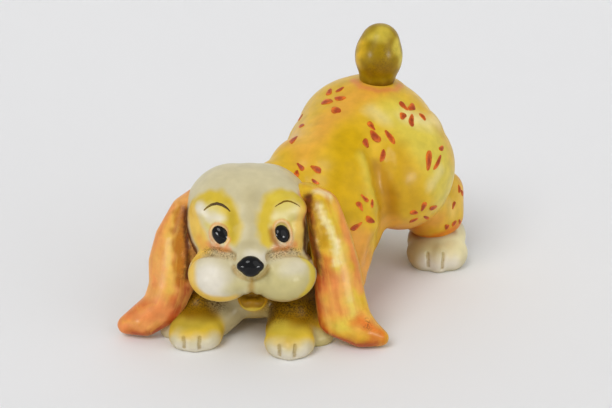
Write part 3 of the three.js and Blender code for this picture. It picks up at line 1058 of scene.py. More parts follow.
@dataclass
class Tail:
    """The upright egg of a tail; its passes count from the point under it."""

    bench: Bench
    body: Body

    COATS = (
        Pass(Hue.YELLOW, [(-5.6, -3.4, 70), (-6.2, -3, 65)], 3.6, 0.9),
        Pass(Hue.LEMON, [(-2.2, -4, 73), (1.5, -3, 74)], 4.2, 0.6),
        Pass(Hue.LEMON, [(5.4, -3.4, 70.3), (6, -3, 65)], 3.4, 0.85),
        Pass(Hue.MOSS, [(-2, -6.5, 62.5), (2.5, -6.5, 63.5)], 4.5, 0.7),
        # Dark brown round the base, partly paint and partly painted shade where the tail sits in the body
        Pass(Hue.CREASE, [(-4, -3, 57.6), (0, -6, 57.6), (4, -3, 57.6)], 2.6, 0.6),
    )
    DIRT = [(2, -7, 67), (-1, -7, 63)]

    def build(self) -> None:
        """Models, paints and hands over the tail."""
        x, y = self.body.tail_root()
        clay = Clay(self.bench)
        clay.pile(
            ((x, y, 65.8), (7.1, 7.1, 8.6)),
            ((x + 0.3, y, 69.7), (5.9, 5.9, 5.8)),
            ((x - 0.3, y, 59.6), (5.5, 5.5, 4.6)),
        )
        tail = clay.fuse("tail", 0.5, 30)
        brush = Airbrush(Hue.OLIVE, 0.5)
        brush.spray(*self.COATS, origin=(x, y))
        brush.smudge(moved(self.DIRT, x, y), 5, 0.3)
        brush.cover(self.bench, tail)
        hand_over(tail, OLIVE_GLAZE, "olive_glaze", "tail")


@dataclass(frozen=True)
class EarPlan:
    """What is special to one ear.

    Attributes:
        stations: Middles and half sizes (across, through, along) in mm, from root to tip.
        base: The base coat.
        deep: Reach of the dark line in the crease, brown paint and painted shade, in mm.
        crease: The line where the ear meets the head.
        fold: The inner and the lower border.
        coats: The passes over the base coat.
        dirt: A spot of dirt, where there is one.
    """

    stations: Sequence[tuple[Point, Point]]
    base: Hue
    deep: float
    crease: Path
    fold: Path
    coats: Sequence[Pass]
    dirt: Path = ()


# The ridge of the left ear, where lemon and pale paint are laid as a painted highlight
LEFT_SHINE = [(17.9, -7.8, 38.3), (20.3, -10.1, 33.8), (22.4, -11.7, 29.3), (22.4, -13.3, 24.4)]
EAR_PLANS = {
    Side.LEFT: EarPlan(
        stations=(
            ((14.4, 0.3, 38), (4.8, 3.6, 4.2)),
            ((18.9, -4.2, 36.5), (4.8, 3.9, 5)),
            ((21, -8, 29.2), (6, 4.1, 5)),
            ((22.8, -10, 21), (6.6, 4.1, 5)),
            ((23.8, -11.8, 12.8), (7.1, 4.1, 5)),
            ((25, -13.2, 7.6), (7.4, 4.4, 5.2)),
            ((29.6, -14.2, 4.4), (5.2, 4.6, 4.2)),
            ((34.6, -14.8, 2.8), (2.5, 2.9, 2.2)),
        ),
        base=Hue.YELLOW,
        deep=1.9,
        crease=[
            (14.8, -5.2, 40.2), (15, -8, 36.1), (15.6, -10.2, 31), (17.2, -12.6, 25.5), (17.6, -13.2, 22.5),
        ],
        fold=[
            (18.4, -13.6, 21), (17, -13.6, 15), (17.9, -15.3, 8.5),
            (21.2, -16.5, 3.8), (25, -17.2, 2), (33, -17.5, 1.8),
        ],
        coats=(
            Pass(Hue.APRICOT, [(23, -12, 26), (23, -16, 12), (30, -16, 9)], 7, 0.75),
            Pass(Hue.LEMON, LEFT_SHINE, 4, 0.75),
            Pass(
                Hue.SALMON,
                [(18.5, -2.5, 40.5), (22, -4.5, 37), (25, -8.5, 31), (27.5, -10.5, 23), (29.5, -12.5, 16)],
                3.2, 0.85,
            ),
            Pass(Hue.SALMON, [(21, -14.6, 20), (21.9, -16.4, 12.3)], 4.4, 0.85),
            Pass(Hue.LEMON, [(26.5, -15.5, 15), (27, -16.5, 9.5), (23.5, -17, 7)], 3.2, 0.75),
            Pass(Hue.OCHRE, [(17.4, -7.5, 38.5), (18.2, -9.5, 34), (18.8, -11.6, 29.5)], 2.8, 0.85),
            Pass(Hue.RED_ORANGE, [(20, -13.3, 25.3), (19.4, -14, 21)], 3, 0.7),
            Pass(Hue.RIM, [(29, -16.4, 8.6), (34.4, -17.2, 4.9)], 4.2, 0.85),
            # Painted highlight: pale along the top edge of the ear's root
            Pass(Hue.PALE, [(17.5, -3.5, 41), (20, -4.5, 39)], 2, 0.7),
            Pass(Hue.PALE, LEFT_SHINE, 1.7, 0.65),
        ),
        dirt=[(31, -16.4, 8)],
    ),
    Side.RIGHT: EarPlan(
        stations=(
            ((-14.4, 3.2, 35.8), (4.6, 3.6, 4.2)),
            ((-18.5, -0.4, 33.8), (4.4, 3.9, 4.6)),
            ((-20.9, -3.4, 27.4), (6.2, 4.1, 4.8)),
            ((-21.7, -5, 20.6), (7.5, 4.1, 5)),
            ((-22.5, -6.2, 14.5), (6.4, 4.1, 5)),
            ((-24.8, -7.4, 8.8), (5.9, 4.4, 5.4)),
            ((-29.8, -8, 5.3), (4.8, 4.6, 4.9)),
            ((-35.2, -8, 3.4), (2.5, 2.9, 2.6)),
        ),
        base=Hue.APRICOT,
        deep=1.1,
        crease=[
            (-18.2, -3.5, 35.5), (-18, -6.5, 31.5), (-17.6, -8, 27), (-17.5, -8.7, 22.6), (-18, -9.5, 18.5),
        ],
        fold=[(-18.6, -10, 15), (-21, -11.4, 9), (-24, -11.6, 4), (-28, -12, 2.4), (-33, -11.5, 1.8)],
        coats=(
            Pass(Hue.AMBER, [(-22, -4.5, 33), (-23.5, -7.5, 24), (-23, -9.9, 15)], 4.6, 0.7),
            Pass(Hue.STRAW, [(-21.6, -5, 33), (-22.6, -8, 23), (-22.2, -10, 15)], 2.8, 0.65),
            Pass(Hue.SALMON, [(-22, -1.5, 36), (-25.5, -4, 29), (-27, -5.5, 22), (-27, -8, 16)], 2.2, 0.6),
            Pass(Hue.SALMON, [(-36, -10, 5), (-32, -9.5, 8), (-27, -10, 9)], 5.6, 0.9, 0.2),
            Pass(Hue.RED_ORANGE, [(-34.5, -8.5, 7.5), (-30, -9, 10)], 3.4, 0.55),
            Pass(Hue.AMBER, [(-36, -10.6, 5.6), (-31, -12.2, 6)], 1, 0.6),
            Pass(
                Hue.GINGER,
                [(-19.2, -3.5, 36), (-19.8, -6, 32), (-20.2, -7.7, 28), (-19.8, -8.8, 23), (-19.4, -9.6, 17)],
                2.8, 0.9, 0.2,
            ),
        ),
    ),
}


@dataclass
class Ear:
    """One long ear: hung from the side of the head, its tip turned out on the table.

    The fronts say which way the ear faces at its stations, with x to the ear's own side. The streaks are so
    many mm long, wide and deep.
    """

    bench: Bench
    side: Side
    clear: float = 0.7
    streak_size: Point = (11, 1.4, 5)

    FRONTS = (
        (0.3, -0.9, 0.3), (0.3, -0.9, 0.3), (0.3, -0.9, 0.2), (0.3, -0.9, 0.2),
        (0.2, -0.85, 0.4), (0.1, -0.8, 0.6), (0, -0.7, 0.7), (0, -0.7, 0.7),
    )

    def build(self) -> None:
        """Models, paints and hands over the ear, whose underside is cut just clear of the table."""
        spine, halves = zip(*EAR_PLANS[self.side].stations)
        clay = Clay(self.bench)
        clay.roll(spine, halves, facings=[(self.side.value * x, y, z) for x, y, z in self.FRONTS])
        name = f"{self.side.word}_ear"
        ear = clay.fuse(name, 0.45, 16)
        self.bench.cut_below(ear, self.clear)
        self._comb(ear, spine)
        self._paint(ear)
        hand_over(ear, ORANGE_GLAZE, "orange_glaze", name)

    def _comb(self, ear: Thing, spine: Path, step: float = 0.5) -> None:
        """Lays the brush streaks along the ear.

        Args:
            ear: The object.
            spine: Middles of the stations in mm.
            step: Distance between the samples of the spine in mm.
        """
        points = self.bench.points(ear)
        line = samples(spine, step)
        nearest = np.array([np.argmin(((line - p) ** 2).sum(1)) for p in points])
        across = (points - line[nearest])[:, 0] * self.side.value
        long, wide, deep = self.streak_size
        run = np.stack([nearest * step / long, across / wide, points[:, 1] / deep], 1)
        streak = ear.data.attributes.new(STREAK, "FLOAT_VECTOR", "POINT")
        streak.data.foreach_set("vector", run.astype(np.float32).ravel())

    def _paint(self, ear: Thing) -> None:
        """Sprays the ear, its fold and the dark crease by the head, brown paint deepened as painted shade
        there.
        """
        plan = EAR_PLANS[self.side]
        brush = Airbrush(plan.base, 0.5)
        brush.spray(
            *plan.coats,
            Pass(Hue.RED_ORANGE, plan.fold, 3.6 + 0.5 * plan.deep, 0.85),
            Pass(Hue.RUST, plan.fold, 1.1 + 0.6 * plan.deep, 0.75),
            # Brown paint, deepened as painted shade where the ear meets the head
            Pass(Hue.TAN, plan.crease, 1.4 * plan.deep, 0.85, 0.1),
            Pass(Hue.CREASE, plan.crease, plan.deep, 0.9, 0.1),
        )
        if plan.dirt:
            brush.smudge(plan.dirt, 2.6, 0.7)
        brush.smudge(plan.crease, 3.4, 0.3)
        brush.cover(self.bench, ear)


@dataclass
class Head:
    """Cranium, face, jowls and nose pad, with brows, eyes, nose and lower lip."""

    bench: Bench
    eye_places: tuple[Point, Point] = ((-8.1, -13.7, 32.7), (8.2, -13.7, 33.2))
    eye_halves: tuple[Point, Point] = ((2.2, 1.5, 3.05), (2.3, 1.6, 2.55))
    eye_tilts: Pair = (38.0, 8.0)
    grain: float = 0.45
    skin: Thing | None = None
    muzzle_lines: list[Path] = field(default_factory=list)
    pad_line: Path = ()

    BROWS = (
        [(-12.6, -10.8, 38.7), (-11.7, -10.7, 39.5), (-10.6, -10.4, 40.1), (-9.2, -10.4, 40.4),
         (-7.7, -11, 40.2), (-6.5, -11.8, 39.7), (-5.7, -12.3, 39)],
        [(6.2, -11.1, 39.8), (7.4, -10.3, 40.3), (8.5, -9.7, 40.7), (9.5, -9.5, 40.8), (10.6, -9.5, 40.6),
         (11.7, -9.6, 40.1), (12.5, -9.5, 39.5), (12.9, -9.4, 39)],
    )
    BROW_HALVES = (0.46, 0.34)

    def build(self) -> None:
        """Models, paints and hands over the head and what is set in it."""
        clay = Clay(self.bench)
        clay.pile(
            ((-1.2, 2, 31.2), (15.6, 17, 14.9)),
            ((0, -6, 27), (15, 12, 12.5)),
            ((-0.1, -14.8, 27.6), (5.5, 7.4, 5.2)),
            ((0, -13.3, 21.6), (8, 8, 5.4)),
        )
        for s, temple, brow in ((-1, 5.8, 10.2), (1, 2.9, 8.4)):
            clay.pile(
                ((s * temple, 2, 31.2), (13.7, 16.9, 14.8)),
                ((s * 8.3, -12.5, 21), (9.1, 8.8, 7.4)),
                ((s * brow, -6.4, 37.2), (6.4, 5.2, 4.6)),
            )
        clay.ball((9.3, -7.2, 31.4), (5.3, 5, 6.6))
        self.skin = clay.fuse("head", self.grain, 22)
        self._model(self.skin)
        self._paint(self.skin)
        hand_over(self.skin, CREAM_GLAZE, "cream_glaze", "head")
        for spot in zip(self.eye_places, self.eye_halves, self.eye_tilts, (Side.RIGHT, Side.LEFT)):
            self._eye(*spot)
        self._nose()
        self._lip()
        self._brows()

    def _model(self, head: Thing) -> None:
        """Scores the sockets, the creases along the tops of the jowls, the nose pad and the philtrum."""
        for place in self.eye_places:
            self.bench.score(head, [place], 0.7, 4.2)
            self.bench.score(head, ring(place, 2.9, 3.5), -0.3, 0.9, 1)
        for s in (-1, 1):
            line = [
                (s * 16.2, -12.4, 23.8), (s * 14.6, -12.8, 26.2), (s * 11.4, -14.5, 28.2),
                (s * 8, -16.4, 28.8), (s * 5.2, -18.8, 28.6),
            ]
            self.muzzle_lines.append(self.bench.score(head, line, 1, 1.8, 1))
        self.pad_line = self.bench.score(head, ring((-0.1, -19, 27.3), 4.9, 4.7)[11:20], 0.4, 1, 1)
        self.bench.score(head, [(0, -19.3, 23.2), (0, -17.9, 19.8), (0, -15, 16)], 0.7, 1.6)

    def _paint(self, head: Thing) -> None:
        """Sprays the mask, the muzzle and the lines of the face."""
        brush = Airbrush(Hue.CREAM)
        # Painted shade: darker cream on the blaze, which faces down and away from the light
        brush.spray(Pass(Hue.SAND, [(0, -9, 41), (0, -14, 36), (0, -17, 31)], 5.5, 0.7))
        self._mask_right(brush)
        self._mask_left(brush)
        for s, place, tilt in zip((-1, 1), self.eye_places, self.eye_tilts):
            brush.spray(
                Pass(Hue.SALMON, ring(place, 2.6, 3.4, tilt), 0.95, 0.7),
                Pass(Hue.PALE, ring(place, 2.4, 3.25, tilt), 0.5, 0.5),
                Pass(Hue.SALMON, [(s * 11.4, -13.2, 29.8), (s * 9, -15, 29.2), (s * 6, -16, 29.8)], 1.9, 0.7),
            )
            brush.smudge([(s * 13, -13.8, 27.8), (s * 9, -15.4, 28.6), (s * 5.2, -17.4, 28.4)], 2, 0.7)
        self._muzzle(brush)
        brush.cover(self.bench, head)

    @staticmethod
    def _mask_right(brush: Airbrush) -> None:
        """Sprays the patch round the dog's right eye, with its pale lid, partly a painted highlight, and the
        dark edge by the ear, brown paint deepened as painted shade.
        """
        rim = [
            (-15.4, -6.5, 37.6), (-14, -7, 39.6), (-11.8, -7.8, 41), (-9, -8.6, 41.4),
            (-6.6, -10.4, 40.4), (-5, -12.4, 37.8), (-4.5, -14.2, 35), (-5, -15.4, 32.6),
        ]
        cheek = [(-15.6, -7.8, 36), (-14.8, -9.6, 33.4), (-14, -11.2, 30.6), (-13.4, -12.2, 28.8)]
        edge = [(-18.8, -3.8, 35.6), (-18.4, -5.6, 32), (-17.6, -7.4, 28.4), (-16.8, -9, 25.4)]
        brush.spray(
            Pass(Hue.LEMON, [(-10, -10.5, 39), (-9, -13, 36)], 5, 0.7, 0.4),
            Pass(Hue.MASK, rim, 3.4, 0.95, 0.25),
            Pass(Hue.OLIVE, rim[4:], 2, 0.3),
            Pass(Hue.STRAW, cheek, 4, 0.95, 0.4),
            Pass(Hue.AMBER, cheek[2:], 2.6, 0.6),
            # The pale lid under the brow, brightened as a painted highlight on the bump there
            Pass(Hue.WHITE, [(-13.6, -10, 38.8), (-12, -11.8, 37.4), (-8.6, -12.8, 37.2)], 2.5, 0.75),
            Pass(Hue.WHITE, [(-14, -9.4, 40)], 2.2, 0.45),
            # Brown paint along the edge by the ear, deepened as painted shade between head and ear
            Pass(Hue.TAN, edge, 3.2, 0.6, 0.1),
            Pass(Hue.CREASE, edge, 2.2, 0.95, 0.3),
        )

    @staticmethod
    def _mask_left(brush: Airbrush) -> None:
        """Sprays the patch round the dog's left eye, with its pale lid, partly a painted highlight, a painted
        shadow in the socket, and the dark edge by the ear, brown paint deepened as painted shade.
        """
        rim = [
            (13, -7.4, 39), (11.4, -6.6, 41), (8.6, -7.6, 42), (5.8, -9.2, 41.6),
            (4, -11.6, 39.4), (3.5, -13.8, 36.2), (3.7, -15.2, 33.8), (4.4, -16, 32),
        ]
        edge = [(14.6, -3.6, 41.4), (14.9, -6.6, 38), (15.2, -8.6, 34), (15.6, -10, 29), (16.4, -11.4, 25.6)]
        brush.spray(
            Pass(Hue.LEMON, [(9, -10.5, 39), (9, -13, 36)], 5, 0.7, 0.4),
            Pass(Hue.MASK, rim, 3.2, 0.95, 0.25),
            Pass(Hue.LEMON, rim[1:4], 2.4, 0.5),
            Pass(Hue.STRAW, [(13.4, -9.2, 37), (13.4, -11, 33), (13, -12.4, 29.6)], 3.4, 0.85, 0.3),
            # The pale lid under the brow, brightened as a painted highlight on the bump there
            Pass(Hue.PALE, [(11.6, -10.3, 38.6), (9, -11.6, 37.6), (6.3, -12.6, 37.5)], 2.2, 0.5),
            # Painted shadow: tan in the socket beside the eye
            Pass(Hue.TAN, [(5.4, -15, 34.8), (5.7, -15.6, 32.2), (7.2, -15.8, 30.4)], 1.5, 0.8),
            Pass(Hue.SALMON, edge[:3], 2, 0.7),
            # Brown paint along the edge by the ear, deepened as painted shade between head and ear
            Pass(Hue.CREASE, edge[2:], 1.7, 0.9, 0.2),
        )

    def _muzzle(self, brush: Airbrush) -> None:
        """Sprays the jowls, their coloured borders, the nose pad and the creases."""
        under = [(-15, -17.6, 17.8), (-12.6, -19, 16.2), (-9, -20, 15.4), (-5, -19.4, 15.6)]
        outer = [(14.4, -13.6, 26.6), (16.2, -15.4, 23.6), (16.2, -16.8, 20), (14.4, -18, 17)]
        brush.spray(
            Pass(Hue.WHITE, [(-11, -19.5, 23), (-9, -21, 20)], 7, 0.9, 0.3),
            Pass(Hue.BUTTER, [(-5, -20.5, 19), (-2, -20, 22)], 5, 0.75),
            Pass(Hue.BUTTER, [(4, -20.5, 20), (9, -21, 21), (12, -19, 20)], 7.5, 0.95, 0.4),
            # Painted highlight: white on the dog's left jowl
            Pass(Hue.WHITE, [(9.5, -20, 25), (12.8, -18.2, 25.2)], 3.4, 0.45),
            Pass(Hue.STRAW, [(-15.6, -12.6, 25.4), (-16, -16.2, 22), (-15.2, -17.4, 18)], 3.6, 0.95, 0.3),
            Pass(Hue.STRAW, under, 3, 0.95, 0.3),
            Pass(Hue.LEMON, outer, 2.6, 0.95, 0.3),
            Pass(Hue.OCHRE, [(13, -18, 15.2), (8, -19, 14.6), (5, -18.4, 15)], 2, 0.6),
            *(Pass(Hue.OCHRE, line, 1.6, 0.85, laid=True) for line in self.muzzle_lines),
            Pass(Hue.WHITE, [(0, -21, 30.2), (3.4, -20.6, 28.6)], 2.8, 0.65),
            Pass(Hue.OCHRE, self.pad_line, 0.9, 0.75, laid=True),
            Pass(Hue.OCHRE, [(0, -19.3, 22.2), (0, -17, 16.8)], 1.6, 0.6),
            Pass(Hue.MOSS, [(-1.5, -17.4, 17), (0.3, -16.8, 16.6), (2, -17.2, 17)], 1.8, 0.85, 0.2),
        )

    def _eye(self, place: Point, half: Point, tilt: float, side: Side) -> None:
        """One gloss eye, an oval that leans a little."""
        clay = Clay(self.bench)
        point, facing = self.bench.snap(self.skin, place)
        lean = facing.to_track_quat("Y", "Z") @ Quaternion((0, 1, 0), math.radians(tilt))
        clay.ball(self.bench.back(point), half, turn=lean)
        name = f"{side.word}_eye"
        hand_over(clay.fuse(name, 0.2, 6), BLACK_ENAMEL, "black_gloss", name)

    def _nose(self) -> None:
        """The nose: an oval with a blunt point below."""
        clay = Clay(self.bench)
        clay.pile(
            ((-0.1, -22, 27.5), (3.65, 2.1, 2.1)),
            ((-0.1, -21.8, 28), (2.9, 2.1, 2.2)),
            ((0, -22, 26.8), (2.7, 2, 2.3)),
        )
        hand_over(clay.fuse("nose", 0.2, 10), BLACK_ENAMEL, "black_gloss", "nose")

    def _lip(self) -> None:
        """The lower lip: a small scoop under the muzzle."""
        clay = Clay(self.bench)
        clay.ball((0.1, -13.6, 14.6), (4.2, 5.6, 3.6))
        lip = clay.fuse("lower_lip", 0.25, 6)
        self.bench.score(lip, [(-1.4, -17.2, 17.2), (1.6, -17.2, 17.2)], 1.5, 2.6)
        brush = Airbrush(Hue.OCHRE, 0.1)
        brush.spray(
            # Lemon along the lower rim, partly paint and partly a painted highlight
            Pass(Hue.LEMON, [(-2.6, -18, 13.4), (0.1, -19.2, 12.8), (2.8, -18, 13.4)], 1.6, 0.7),
            Pass(Hue.MOSS, [(-1.8, -18.2, 16.4), (2, -18.2, 16.4)], 2.3, 1, 0.75),
            # Painted shadow: dark at the top of the mouth, under the muzzle
            Pass(Hue.SHADE, [(-2, -17.6, 17.2), (2.2, -17.6, 17.2)], 2, 0.15, 0.2),
        )
        brush.cover(self.bench, lip)
        hand_over(lip, OCHRE_GLAZE, "ochre_glaze", "lower_lip")

    def _brows(self) -> None:
        """Two thin painted brows that taper to their ends."""
        clay = Clay(self.bench)
        for line, thick in zip(self.BROWS, self.BROW_HALVES):
            spots = samples(line, BROW_STEP)
            for i, spot in enumerate(spots):
                point, normal = self.bench.snap(self.skin, tuple(spot))
                taper = thick * (0.5 + 0.5 * math.sin(math.pi * i / (len(spots) - 1)))
                half = (taper, taper, 0.5 * taper)
                clay.ball(self.bench.back(point), half, turn=normal.to_track_quat("Z", "Y"))
        brows = clay.fuse("painted_brows", 0.14, 3)
        brush = Airbrush(Hue.SHADE, 0.1)
        brush.spray(Pass(Hue.OLIVE, self.BROWS[0][:2], 2, 0.6), Pass(Hue.MOSS, self.BROWS[1], 2, 0.5))
        brush.cover(self.bench, brows)
        hand_over(brows, BROW_PAINT, "olive_glaze")


@dataclass
class Petals:
    """Rust petals dabbed on the body in little clusters, thin films of paint on the skin.

    Each dab has its middle, its lean from the level in degrees, its length and its width, as seen from SIGHT.
    The hidden clusters, given by their middles, are rings of dabs that can't be seen from there.
    """

    bench: Bench
    skin: Thing
    gap: float = 0.02
    lift: float = 0.09
    grazing: float = 0.4

    SIGHT = Vector((0, -0.927, 0.375))
    # A ring of dabs: how many, their slip round it in degrees, its radius and their sizes in mm
    RING_SIZE = 5
    RING_SLIP = 18
    RING_REACH = (2.6, 3.4)
    LENGTHS = (2.6, 3.6)
    WIDTHS = (1.4, 2)
    # The shape of a dab on a disc of radius 1: corners, bulges (how many, how high) and slimmer end
    CORNERS = 18
    BULGES = ((2, 0.12), (3, 0.1))
    TAPER = 0.35
    # Its paint: how far off the middle the heart lies, where the paint gets thinner and over what width
    HEART = 0.45
    THIN = (0.25, 0.55)
    THIN_WIDTH = 0.55
    DABS = (
        ((21.4, 39.7, 54.9), 47, 2.4, 1.5), ((24.4, 38.3, 56.3), 28, 2.6, 1),
        ((24.2, 34.1, 55.2), 0, 3.6, 1.3), ((20.7, 35.1, 53.7), 8, 3.8, 1.5),
        ((22.9, 29.2, 53.3), -30, 2.7, 2.2), ((13.2, 39.6, 47.2), 60, 2.4, 1),
        ((13.1, 31.3, 47.7), 30, 1.7, 1.2), ((10.9, 22.8, 46.4), 46, 3.4, 1),
        ((12.9, 13.1, 41.9), -45, 2.6, 1.4), ((17.2, 11.2, 42.1), -25, 3.6, 1.6),
        ((11.6, 11.5, 40), 70, 2.2, 1.4), ((17, 8.7, 39.2), -27, 2.6, 0.9),
        ((42.8, 31.3, 54.5), -49, 3.1, 1.5), ((45.5, 32.4, 53.7), -35, 2.4, 2.2),
        ((42.5, 28.3, 52.3), -40, 2.3, 1.8), ((45.1, 28.3, 50.9), -88, 3.6, 1.7),
        ((48.2, 31.3, 50.9), -55, 2.5, 1.2), ((33, 23.1, 50.9), -45, 3.2, 1.4),
        ((34, 20.7, 48.6), -50, 3.8, 2.3), ((31.5, 18.3, 47.3), -70, 2.5, 1.8),
        ((38.4, 22, 47.8), -56, 4.4, 1.7), ((36.1, 18.5, 43.3), 78, 4.1, 1.4),
        ((49, 21.1, 41.1), 82, 5.5, 1.9), ((51.5, 23, 39.4), 60, 4.6, 1.2),
        ((52.8, 27, 42.2), 90, 1.7, 1.5), ((29.4, 6.6, 32.8), -60, 2.7, 1.5),
        ((30.8, 8.5, 34.3), -52, 2.7, 1.1), ((32.9, 8.9, 32.5), 85, 2.3, 0.9),
        ((32.4, 6.6, 28.6), -30, 3.3, 1.5), ((28.4, 2.9, 28.2), 38, 3.8, 1.3),
        ((47.7, 18.9, 28.1), 60, 2.7, 1.5), ((45.1, 17.5, 26.6), 5, 2.7, 1.2),
        ((50.8, 22.2, 26.2), 25, 2.4, 1.3), ((45.2, 19.5, 23.5), 20, 2.9, 0.8),
        ((49.3, 23.1, 22.7), -25, 2.1, 1.1), ((59.9, 42.6, 23.8), 90, 2.6, 0.9),
        ((61.2, 43.2, 22.3), -80, 2, 0.8), ((58.8, 39.2, 19.9), 65, 2.4, 1),
        ((56.8, 36.1, 14), 70, 2, 1.3), ((59.3, 38.1, 14.3), 45, 2, 1.3),
        ((61.1, 40.9, 13.7), 90, 1.5, 0.9),
    )
    HIDDEN = (
        (38, 60, 45), (26, 58, 36), (52, 52, 38), (7, 46, 33), (16, 56, 24), (2, 26, 30), (6, 36, 24)
    )

    def build(self) -> None:
        """Dabs all petals and hands them over."""
        dabs = [self._dab(seed, *dab, self.SIGHT) for seed, dab in enumerate(self.DABS)]
        for number, middle in enumerate(self.HIDDEN):
            dabs.extend(self._cluster(middle, len(self.DABS) + self.RING_SIZE * number))
        petals = join(dabs, "rust_petals")
        modify(
            petals, "SHRINKWRAP", target=self.skin, wrap_method="NEAREST_SURFACEPOINT",
            wrap_mode="ABOVE_SURFACE", offset=self.gap * MM,
        )
        modify(petals, "SOLIDIFY", thickness=self.lift * MM, offset=1)
        pick_only(petals)
        bpy.ops.object.shade_smooth()
        hand_over(petals, RUST_PAINT, "orange_glaze")

    def _cluster(self, middle: Point, seed: int) -> list[Thing]:
        """A loose ring of dabs.

        Args:
            middle: Middle of the ring in mm.
            seed: Which wobble it gets.

        Returns:
            The dabs.
        """
        draw = np.random.default_rng(seed)
        point, normal = self.bench.snap(self.skin, middle)
        across = UP.cross(normal).normalized()
        up = normal.cross(across)
        dabs = []
        for k in range(self.RING_SIZE):
            angle = 360 / self.RING_SIZE * k + draw.uniform(-self.RING_SLIP, self.RING_SLIP)
            turn = math.radians(angle)
            heading = across * math.cos(turn) + up * math.sin(turn)
            place = Vector(self.bench.back(point)) + heading * draw.uniform(*self.RING_REACH)
            size = draw.uniform(*self.LENGTHS), draw.uniform(*self.WIDTHS)
            dabs.append(self._dab(seed + k, tuple(place), angle, *size))
        return dabs

    def _dab(
        self, seed: int, middle: Point, lean: float, length: float, width: float, sight: Vector | None = None
    ) -> Thing:
        """One stroke of the brush.

        Args:
            seed: Which wobble it gets.
            middle: Its middle in mm, near the skin.
            lean: Its lean from the level, in degrees.
            length: Its length in mm.
            width: Its width in mm.
            sight: The side from which these are seen; without it, straight from above the skin.

        Returns:
            The dab, a thin disc near the skin.
        """
        draw = np.random.default_rng(seed)
        point, facing = self.bench.snap(self.skin, middle)
        ahead = sight or facing
        across = UP.cross(ahead).normalized()
        up = ahead.cross(across)
        turn = math.radians(lean)
        stroke = across * math.cos(turn) + up * math.sin(turn)
        side = ahead.cross(stroke)
        slant = ahead / max(ahead.dot(facing), self.grazing)
        stroke, side = (v - slant * v.dot(facing) for v in (stroke, side))
        bpy.ops.mesh.primitive_circle_add(
            vertices=self.CORNERS, radius=1, fill_type="TRIFAN", location=(0, 0, 0)
        )
        dab = bpy.context.object
        with edit_mode(dab):
            bpy.ops.mesh.select_all(action="SELECT")
            bpy.ops.mesh.subdivide(number_cuts=2)
        mesh = dab.data
        spots = rows_of(mesh.vertices, "co")
        self._tint(mesh, spots, draw)
        angles = np.arctan2(spots[:, 1], spots[:, 0])
        wobble = 1
        for count, height in self.BULGES:
            wobble = wobble + height * np.sin(count * angles + draw.uniform(0, 6.3))
        taper = draw.uniform(-self.TAPER, self.TAPER)
        rows = []
        for (x, y, _), swell in zip(spots, wobble):
            along = 0.5 * length * x * swell
            aside = 0.5 * width * y * swell * (1 + taper * x)
            rows.append(point + (stroke * along + side * aside) * MM)
        mesh.vertices.foreach_set("co", np.array(rows, np.float32).ravel())
        return dab

    def _tint(self, mesh: bpy.types.Mesh, spots: np.ndarray, draw: np.random.Generator) -> None:
        """Paints a dab rust at its heart and lighter at its rim, where the paint ran thin.

        Args:
            mesh: The dab's mesh.
            spots: Its vertices on a disc of radius 1.
            draw: The dab's random draws.
        """
        heart = draw.uniform(-self.HEART, self.HEART)
        reach = np.linalg.norm(spots - np.array([heart, 0, 0]), axis=1)
        rim = np.clip((reach - draw.uniform(*self.THIN)) / self.THIN_WIDTH, 0, 1)[:, None]
        tone = np.array(linear(Hue.RUST)) * (1 - rim) + np.array(linear(Hue.RIM)) * rim
        paint = mesh.color_attributes.new(PAINT, "FLOAT_COLOR", "POINT")
        paint.data.foreach_set("color", tone.astype(np.float32).ravel())
        mesh.attributes.new(GRIME, "FLOAT", "POINT")


# Stage


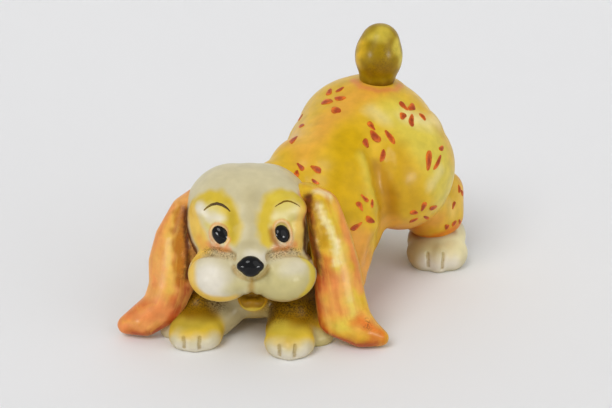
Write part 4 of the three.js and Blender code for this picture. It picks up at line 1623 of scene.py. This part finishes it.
@dataclass
class Studio:
    """Floor, backdrop, lamps and camera; the sizes of the paper are in metres.

    Each lamp has the direction in which it stands, how wide it looks from the figurine in degrees, and its
    strength in watts per square metre.
    """

    bench: Bench
    elevation: float = 22.0
    distance: float = 410.0
    lens: float = 85.0
    target: Point = (14.4, 15, 30)
    paper_width: float = 6.0
    paper_rise: float = 2.0
    paper_bend: float = 0.6
    room: float = 0.5

    LAMPS = {
        "key_lamp": ((-0.4, -0.65, 0.85), 30, 1.3),
        "fill_lamp": ((0.85, -0.55, 0.5), 60, 0.6),
        "left_glint_lamp": ((-0.75, -0.7, 0.06), 20, 1.5),
        "right_glint_lamp": ((0.68, -0.7, 0.06), 20, 1.5),
    }

    def build(self) -> None:
        """Sets the stage."""
        self._floor()
        self._light()
        self._camera()
        bpy.context.scene.view_settings.view_transform = "Standard"

    def _floor(self) -> None:
        """A pale paper sweep: flat under the figurine, curved up behind it."""
        bpy.ops.mesh.primitive_plane_add(size=self.paper_width, location=(0, -1, 0))
        floor = bpy.context.object
        floor.name = "paper_sweep"
        mark(floor, vertices=np.array([v.co.y > 0 for v in floor.data.vertices]))
        with edit_mode(floor):
            bpy.ops.mesh.extrude_region_move(TRANSFORM_OT_translate={"value": (0, 0, self.paper_rise)})
        modify(floor, "BEVEL", width=self.paper_bend, segments=12, limit_method="ANGLE")
        bpy.ops.object.transform_apply(location=True, rotation=True, scale=True)
        bpy.ops.object.shade_smooth()
        material, tree = new_material("pale_studio_paper")
        surface(tree, {"Base Color": linear(Hue.PAPER), "Roughness": 0.7})
        floor.data.materials.append(material)

    def _light(self) -> None:
        """A large soft lamp from the upper left, a weak one from the right, glint lamps and an even room."""
        world = bpy.data.worlds.new("even_room")
        bpy.context.scene.world = world
        world.use_nodes = True
        background = world.node_tree.nodes["Background"]
        background.inputs["Color"].default_value = (1, 1, 1, 1)
        background.inputs["Strength"].default_value = self.room
        for name, (place, spread, power) in self.LAMPS.items():
            bpy.ops.object.light_add(type="SUN", location=Vector(place))
            lamp = bpy.context.object
            lamp.name = name
            lamp.data.energy = power
            lamp.data.angle = math.radians(spread)
            lamp.rotation_euler = (-Vector(place)).to_track_quat("-Z", "Y").to_euler()
            # Glint lamps stand beside the camera and only show as glints in the glaze
            lamp.visible_diffuse = "glint" not in name

    def _camera(self) -> None:
        """The camera, a little above the figurine and straight in front of the face."""
        rise = math.radians(self.elevation)
        aim = self.bench.at(self.target)
        place = aim + Vector((0, -math.cos(rise), math.sin(rise))) * self.distance * MM
        bpy.ops.object.camera_add(location=place, rotation=(math.pi / 2 - rise, 0, 0))
        camera = bpy.context.object
        camera.data.lens = self.lens
        camera.data.sensor_width = 36
        camera.data.clip_start = 0.01
        bpy.context.scene.camera = camera


def corners(box: tuple[Vector, Vector]) -> list[list[float]]:
    """A box as plain lists of numbers."""
    return [[float(v) for v in corner] for corner in box]


def main() -> None:
    """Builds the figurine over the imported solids."""
    logging.basicConfig(level=logging.INFO, format="%(name)s: %(message)s")
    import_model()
    low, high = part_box("tail")
    middle = (low + high) / 2
    x, y = Body(Bench(Vector((0, 0, 0)))).tail_root()
    bench = Bench(Vector((middle.x - x * MM, middle.y - y * MM, 0)))
    body = Body(bench)
    body.build()
    for side in Side:
        HindPaw(bench, body, side).build()
        Ear(bench, side).build()
    Tail(bench, body).build()
    Head(bench).build()
    Petals(bench, body.skin).build()
    bpy.data.objects.remove(body.skin)
    Studio(bench).build()


if __name__ == "__main__":
    main()
